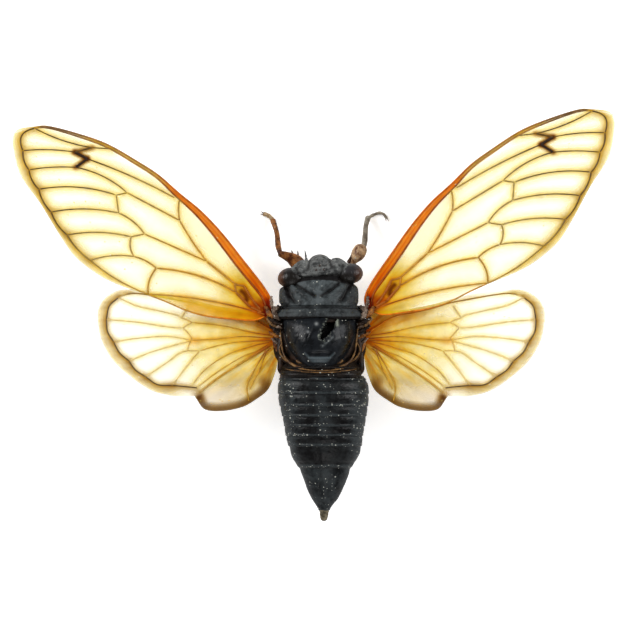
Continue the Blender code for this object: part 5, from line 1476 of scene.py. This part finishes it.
def plate_shade_and_band(x, y, z, end, first):
    """Painted shade, black at a plate's step; a darker band on the bare horn between the middle
    line and flanks; and the first plate's shaded fore groove, which bulges forward in the middle."""
    across = np.abs(x - BELLY_X)
    if first:
        black = 0.85 * near_line(y + 7.05 + 0.35 * near_line(x - 0.75, 1.3), 0.12)
    else:
        black = (0.6 * soft_step(-across, -3.2, -2.4) * soft_step(y - end, 0.28, 0.42)
                 * (1 - 0.8 * near_line(across, 0.6) * (y > -13.5)))
    return (z > 4.2) * (black + 0.5 * near_line(y - end + 0.02, 0.08))


front = -6.95
for number, end in enumerate(PLATE_ENDS, 1):
    first = number == 1
    y = np.linspace(front + (0.0 if first else 0.22), end, 46)
    t = (y - y[0]) / (y[-1] - y[0])
    lip = PLATE_STEP * (-0.9 + 0.9 * soft_step(t, 0.0, 0.5) + 0.12 * soft_step(t, 0.80, 0.86)
                        - 0.5 * soft_step(t, 0.97, 1.0))
    grid = belly_hoops(y, lip)
    gx, gy = grid[..., 0], grid[..., 1]
    low = grid[..., 2] - table_at(BELLY, y, 3)[:, None]
    above = soft_step(low, -0.3, 0.8)
    relief = (-0.16 * near_line(low + 0.62, 0.13)
              - 0.035 * near_line(t[:, None] - 0.80, 0.05) * above
              + (0.012 + 0.012 * (t[:, None] > 0.8)) * above
              * waves(gx * 10, gy * 10 + 3 * number, 80 + number, 9))
    if first:
        relief = relief + 0.16 * bell(gx, gy, 0.8, -7.2, 1.6, 0.4) * above
    else:
        relief = (relief - 0.09 * near_line(low + 1.9, 0.10)
                  + 0.05 * near_line(gx - 0.9, 0.35) * above)
    grid = grid + outward(grid) * relief[..., None]
    plate = put("belly_ring_%d" % number, capped(grid, (0.10, 0.10)), abdomen_horn,
                "cuticle_black", "abdomen", floor=0.06)
    set_corner_value(plate, "dusty", lambda x, y, z: plate_dust_and_sheen(x, y, z, end))
    # Painted shade at the plate's step and groove, and its darker band.
    set_corner_value(plate, "painted_shade", lambda x, y, z: plate_shade_and_band(x, y, z, end, first))
    if not first:
        span = np.linspace(front + 0.15, end + 0.05, 24)[:, None]
        x, half, z, down = belly_at(span, 1, 2, 3, 5)
        angle = -math.pi / 2 + np.linspace(-1, 1, 60)[None, :] * 1.02
        c, s = np.cos(angle), np.sin(angle)
        px = (half + 0.02) * np.sign(c) * np.abs(c) ** (2 / BELLY_POWER)
        pz = (down + 0.03) * -np.abs(s) ** (2 / BELLY_POWER)
        outer = np.stack([x + px, span + 0 * px, np.maximum(z + pz, 0.0)], axis=-1)
        inner = outer + np.stack([-0.04 * px / half, 0 * px, 0.14 + 0 * px], axis=-1)
        loop = np.concatenate([outer, inner[:, ::-1]], axis=1)
        ends = [loop[:1] * 0 + row.mean(axis=0) for row in (loop[0], loop[-1])]
        put("belly_plate_%d" % number, np.concatenate([ends[0], loop, ends[1]]), belly_horn,
            "cuticle_black", "abdomen", floor=0.0)
    front = end

# The last segment: a ridged cone over the egg blade's sheath, with the small brown tube that
# ends the animal.
TIP_FRONT = PLATE_ENDS[-1] + 0.25
y = np.linspace(TIP_FRONT, -21.65, 90)
grow = -0.11 + 0.11 * soft_step(-y, 17.0, 17.8)
cone = belly_hoops(y, grow, 220)
gx, gy = cone[..., 0], cone[..., 1]
low = cone[..., 2] - table_at(BELLY, y, 3)[:, None]
above = soft_step(low, -0.2, 0.5)
relief = (0.07 * near_line(gx - 1.1, 0.30) * above * soft_step(-gy, 17.6, 19.0)
          - 0.08 * near_line(low + 0.80, 0.12)
          - 0.05 * near_line(np.abs(gx - 1.1) - 0.62, 0.14) * above * soft_step(-gy, 18.0, 19.5)
          + 0.015 * waves(gx * 10, gy * 10, 97, 9))
cone = cone + outward(cone) * (relief * soft_step(-gy, 16.9, 17.6))[..., None]
plate = put("tail_cone", capped(cone, (0.1, 0.12)), abdomen_horn, "cuticle_black", "abdomen_tip",
            floor=0.0)
set_corner_value(plate, "dusty", lambda x, y, z: (z > 2.2) * (
    0.4 * near_line(x - 1.1, 0.4) + 0.25 * near_line(np.abs(x - 1.1) - 0.9, 0.3)))
tube_horn = horn_material("tail_tube_horn", (0.045, 0.036, 0.020, 1), (0.24, 0.20, 0.13, 1), 0.45,
                          pits=5200.0, dust=0.10, bump=0.6, patches=1500.0)
tube_path = [(1.03, -21.2, 2.2), (1.01, -21.8, 2.02), (0.99, -22.3, 1.86), (0.98, -22.62, 1.76)]
put("tail_tube", limb(tube_path, (0.52, 0.55, 0.50, 0.40), 50, 30,
                      shape=lambda u: 1 - 0.10 * near_line(u - 0.55, 0.05)),
    tube_horn, "cuticle_black", "abdomen_tip")
sheath_path = [(1.12, -16.6, 0.62), (1.13, -18.2, 0.8), (1.12, -19.8, 1.0), (1.06, -21.4, 1.22),
               (1.02, -21.9, 1.32)]
for side, name in SIDES:
    path = np.array(sheath_path) + (side * 0.16, 0, 0)
    put("egg_blade_sheath_" + name, limb(path, (0.24, 0.36, 0.36, 0.26, 0.13), 60, 24), belly_horn,
        "cuticle_black", "abdomen_tip")
for side, name in SIDES:
    flap = [(1.12 + side * 0.75, -16.9, 1.35), (1.13 + side * 0.62, -18.6, 1.45),
            (1.08 + side * 0.36, -20.4, 1.62), (1.03 + side * 0.16, -21.4, 1.78)]
    put("tail_flap_" + name, limb(flap, (0.62, 0.72, 0.42, 0.2), 60, 28, 0.8), abdomen_horn,
        "cuticle_black", "abdomen_tip", floor=0.0)


# The front legs: red-brown horn, dried stiff, reaching forward past the head. Each has a hip, a
# swollen thigh with teeth below, a shin, three foot joints and two claws.
leg_grey = horn_material("leg_horn_grey", (0.11, 0.085, 0.062, 1), (0.38, 0.34, 0.27, 1), 0.42,
                         pits=7000.0, dust=0.12, bump=0.4, patches=1000.0)
leg_knob = horn_material("leg_horn_knob", (0.10, 0.035, 0.014, 1), (0.62, 0.42, 0.24, 1), 0.40,
                         pits=6000.0, dust=0.06, bump=0.8, patches=1700.0)
knee_skin = horn_material("knee_skin", (0.16, 0.07, 0.03, 1), (0.42, 0.26, 0.15, 1), 0.5,
                          pits=9000.0, dust=0.1)
claw_horn = horn_material("claw_horn", (0.020, 0.008, 0.005, 1), (0.10, 0.035, 0.018, 1), 0.25,
                          pits=9000.0, dust=0.0, bump=0.2)
foot_ochre = horn_material("foot_horn_ochre", (0.16, 0.09, 0.04, 1), (0.52, 0.38, 0.23, 1), 0.45,
                           pits=7000.0, dust=0.08, bump=0.5, patches=1200.0)
HIP_TOP = 2.6


def leg_piece(name, path, radii, rings, sides, mat, node, flatten=1.0, floor=None):
    """Limb of a leg as a piece."""
    put(name, limb(path, radii, rings, sides, flatten), mat, "leg_brown", node, floor=floor)


CLAW_PATH = ((-0.12, 0.05, 0), (0.25, 0.0992, 0.07), (0.5, 0.16, -0.07))   # along, out, up


def claw_pair(name, foot, heading, node):
    """Two hooked claws that part from the end of the foot, each a thin curved horn."""
    foot = np.asarray(foot, float)
    heading = np.array(heading, float) / np.linalg.norm(heading)
    across = np.array((-heading[1], heading[0], 0.0))
    for side, letter in ((-1, "a"), (1, "b")):
        path = [foot + along * heading + side * apart * across + (0, 0, rise)
                for along, apart, rise in CLAW_PATH]
        leg_piece("claw_%s_%s" % (letter, name), path, (0.07, 0.055, 0.015), 24, 12, claw_horn,
                  node, floor=0.0)


def bristles(name, path, radii, count, length, seed, node):
    """Short stiff spines along a shin: thin cones that lean towards the foot."""
    rng = np.random.default_rng(seed)
    line, way, side, other = curved_line(path, 200)
    at = (np.linspace(0.12, 0.97, count) * 199).astype(int)
    r = np.interp(at, np.linspace(0, 199, len(radii)), radii)
    turn = rng.uniform(0, 2 * math.pi, count)
    away = np.cos(turn)[:, None] * side[at] + np.sin(turn)[:, None] * other[at]
    size = length * rng.uniform(0.7, 1.2, count)
    root = line[at] + away * (r * 0.85)[:, None]
    tip = root + (away * 0.8 + way[at] * 0.9) * size[:, None]
    u = np.linspace(0, 1, 5)[None, :, None, None]
    a = np.arange(6) * 2 * math.pi / 6
    ring = (np.cos(a)[None, :, None] * way[at][:, None, :]
            + np.sin(a)[None, :, None] * np.cross(way[at], away)[:, None, :])
    thick = 0.028 * np.sqrt(np.clip(1 - u, 0, 1)) * np.where(u == 0, 0.0, 1.0)
    grids = (root[:, None, None, :] + (tip - root)[:, None, None, :] * u
             + thick * ring[:, None, :, :])
    grids[..., 2] = np.maximum(grids[..., 2], 0.0)
    give(grids_to_piece(name, grids), claw_horn, "leg_brown", node)


FRONT_LEGS = {
    "left": dict(
        hip=[(BODY_X - 1.6, 1.6, HIP_TOP), (BODY_X - 1.72, 2.0, 2.15), (-1.42, 3.3, 2.1)],
        thigh=[(-1.40, 3.1, 2.1), (-1.52, 4.4, 2.3), (-1.86, 5.42, 2.6), (-2.50, 6.02, 2.8),
               (-3.22, 6.38, 2.88), (-3.80, 6.58, 2.87)],
        shin=[(-3.80, 6.55, 2.92), (-3.95, 7.0, 2.68), (-4.08, 7.56, 2.22), (-4.24, 8.95, 1.3),
              (-4.65, 10.29, 0.55)],
        foot=[(-4.58, 10.2, 0.5), (-4.93, 10.66, 0.29), (-5.30, 10.92, 0.22), (-5.6, 11.02, 0.2)],
        teeth=(((-1.95, 5.9, 2.6), (-1.93, 6.98, 2.5), 0.20),
               ((-2.55, 6.5, 2.8), (-2.62, 7.0, 2.6), 0.16)),
        heading=(-0.85, 0.3, 0.0), thigh_horn=leg_red, shin_horn=leg_red, foot_horn=foot_ochre,
        foot_thick=(0.20, 0.24, 0.25, 0.24), swell=(0.50, 0.62, 0.82, 0.80, 0.56, 0.36)),
    "right": dict(
        hip=[(BODY_X + 1.6, 1.6, HIP_TOP), (BODY_X + 1.72, 2.0, 2.15), (2.42, 3.3, 2.1)],
        thigh=[(2.38, 3.1, 2.1), (3.0, 4.1, 2.2), (3.75, 5.0, 2.5), (4.26, 5.72, 2.75),
               (4.62, 6.36, 2.9), (4.86, 6.78, 2.95), (4.98, 7.02, 2.9)],
        shin=[(5.30, 7.1, 2.95), (5.46, 7.8, 2.62), (5.54, 8.7, 1.82), (5.62, 9.7, 1.12),
              (5.85, 10.6, 0.45)],
        foot=[(5.78, 10.5, 0.4), (6.25, 10.83, 0.25), (6.67, 11.02, 0.22), (7.11, 11.15, 0.22),
              (7.55, 11.03, 0.22), (7.88, 10.65, 0.2)],
        teeth=(((3.78, 5.72, 2.7), (4.04, 6.70, 2.75), 0.27),),
        heading=(0.25, -0.9, 0.0), thigh_horn=leg_knob, shin_horn=leg_grey, foot_horn=leg_grey,
        foot_thick=(0.16, 0.19, 0.17, 0.15),
        swell=(0.44, 0.45, 0.46, 0.44, 0.41, 0.37, 0.35, 0.40, 0.72, 0.88, 0.86)),
}


def foot_joints(name, path, radii, mat, node):
    """Foot of three short joints, each a limb that swells towards its end."""
    line = curve_through(path, 60)
    cuts = np.linspace(0, 59, 4).astype(int)
    for number, (start, end) in enumerate(zip(cuts[:-1], cuts[1:]), 1):
        r = np.interp((start, 0.5 * (start + end), end), np.linspace(0, 59, len(radii)), radii)
        leg_piece("foot_%d_%s" % (number, name), line[start:end + 1], r * (0.8, 0.95, 1.1), 24, 18,
                  mat, node, floor=0.0)


for name, leg in FRONT_LEGS.items():
    node = "foreleg_" + name
    leg_piece("front_hip_" + name, leg["hip"], (0.64, 0.70, 0.60), 50, 32, leg_red, node)
    leg_piece("front_thigh_" + name, leg["thigh"], leg["swell"], 90, 40, leg["thigh_horn"], node,
              0.85)
    leg_piece("front_knee_" + name, leg["shin"][:2], (0.24, 0.29), 20, 20, knee_skin, node)
    leg_piece("front_shin_" + name, leg["shin"], (0.24, 0.32, 0.29, 0.27, 0.31), 90, 24,
              leg["shin_horn"], node)
    foot_joints("front_" + name, leg["foot"], leg["foot_thick"], leg["foot_horn"], node)
    claw_pair("front_" + name, leg["foot"][-1], leg["heading"], node)
    for number, (root, tip, thick) in enumerate(leg["teeth"], 1):
        root, tip = np.array(root), np.array(tip)
        leg_piece("thigh_tooth_%d_%s" % (number, name),
                  [root, 0.5 * (root + tip) + (0.06, 0, 0), tip], (thick, 0.6 * thick, 0.02),
                  30, 18, claw_horn, node)
    bristles("front_shin_spines_" + name, leg["shin"], (0.27, 0.26), 26, 0.16, 5, node)

# The middle and hind legs, folded under the chest as they dry: thigh out, shin and foot back,
# with a row of strong spines on each hind shin.
FOLDED = (  # pair, hip, knee, ankle, toe, spines
    ("mid", (1.75, -1.5), (2.0, 2.1, 1.35), (1.35, -1.4, 0.26), (1.1, -2.9, 0.2), 16),
    ("hind", (1.75, -6.05), (2.3, 1.6, 1.3), (2.35, -3.9, 0.26), (2.05, -5.7, 0.2), 26),
)
for pair, hip, knee, ankle, toe, spines in FOLDED:
    for side, name in SIDES:
        base = np.array((BODY_X + side * hip[0], hip[1], 0.0))
        top = base + (0, 0, 2.2)
        bend = top + (side * 0.1, 0.1, -0.5)
        knee, ankle, toe = (np.array(point) for point in (knee, ankle, toe))
        knee_at, ankle_at, toe_at = (base + point * (side, 1, 1) for point in (knee, ankle, toe))
        shank = ankle_at - knee_at
        shin = [knee_at, 0.5 * (knee_at + ankle_at) + (side * 0.08, 0, 0.05), ankle_at]
        node = "%sleg_%s" % (pair, name)
        leg_piece("%s_hip_%s" % (pair, name), [top, top * 0.5 + bend * 0.5, bend],
                  (0.64, 0.66, 0.52), 30, 30, leg_red, node)
        leg_piece("%s_thigh_%s" % (pair, name), [bend, bend + 0.5 * (knee_at - bend), knee_at],
                  (0.52, 0.52, 0.36), 60, 30, leg_red, node, 0.85)
        leg_piece("%s_knee_%s" % (pair, name), [knee_at - 0.02 * shank, knee_at + 0.1 * shank],
                  (0.24, 0.27), 16, 20, knee_skin, node)
        leg_piece("%s_shin_%s" % (pair, name), shin, (0.26, 0.24, 0.26), 70, 22, leg_red, node,
                  floor=0.0)
        label = "%s_%s" % (pair, name)
        foot_joints(label, [ankle_at, 0.5 * (ankle_at + toe_at), toe_at], (0.20, 0.21, 0.18),
                    leg_red, node)
        claw_pair(label, toe_at, (toe_at - ankle_at) * (1, 1, 0), node)
        bristles("%s_shin_spines_%s" % (pair, name), shin, (0.25, 0.25), spines, 0.42, 9, node)

# The sockets under the chest that carry the hips.
for pair, x, y, z, node in (("front", 1.6, 1.6, 3.05, "pronotum"),
                            ("mid", 1.75, -1.5, 2.7, "mesothorax"),
                            ("hind", 1.75, -6.05, 2.65, "metathorax")):
    for side, name in SIDES:
        cup = [(BODY_X + side * x, y + 0.05, z + 0.75), (BODY_X + side * x, y, z + 0.3),
               (BODY_X + side * x, y, z - 0.2)]
        put("%s_socket_%s" % (pair, name), limb(cup, (0.95, 0.82, 0.72), 30, 36), brown_horn,
            "cuticle_black", node)
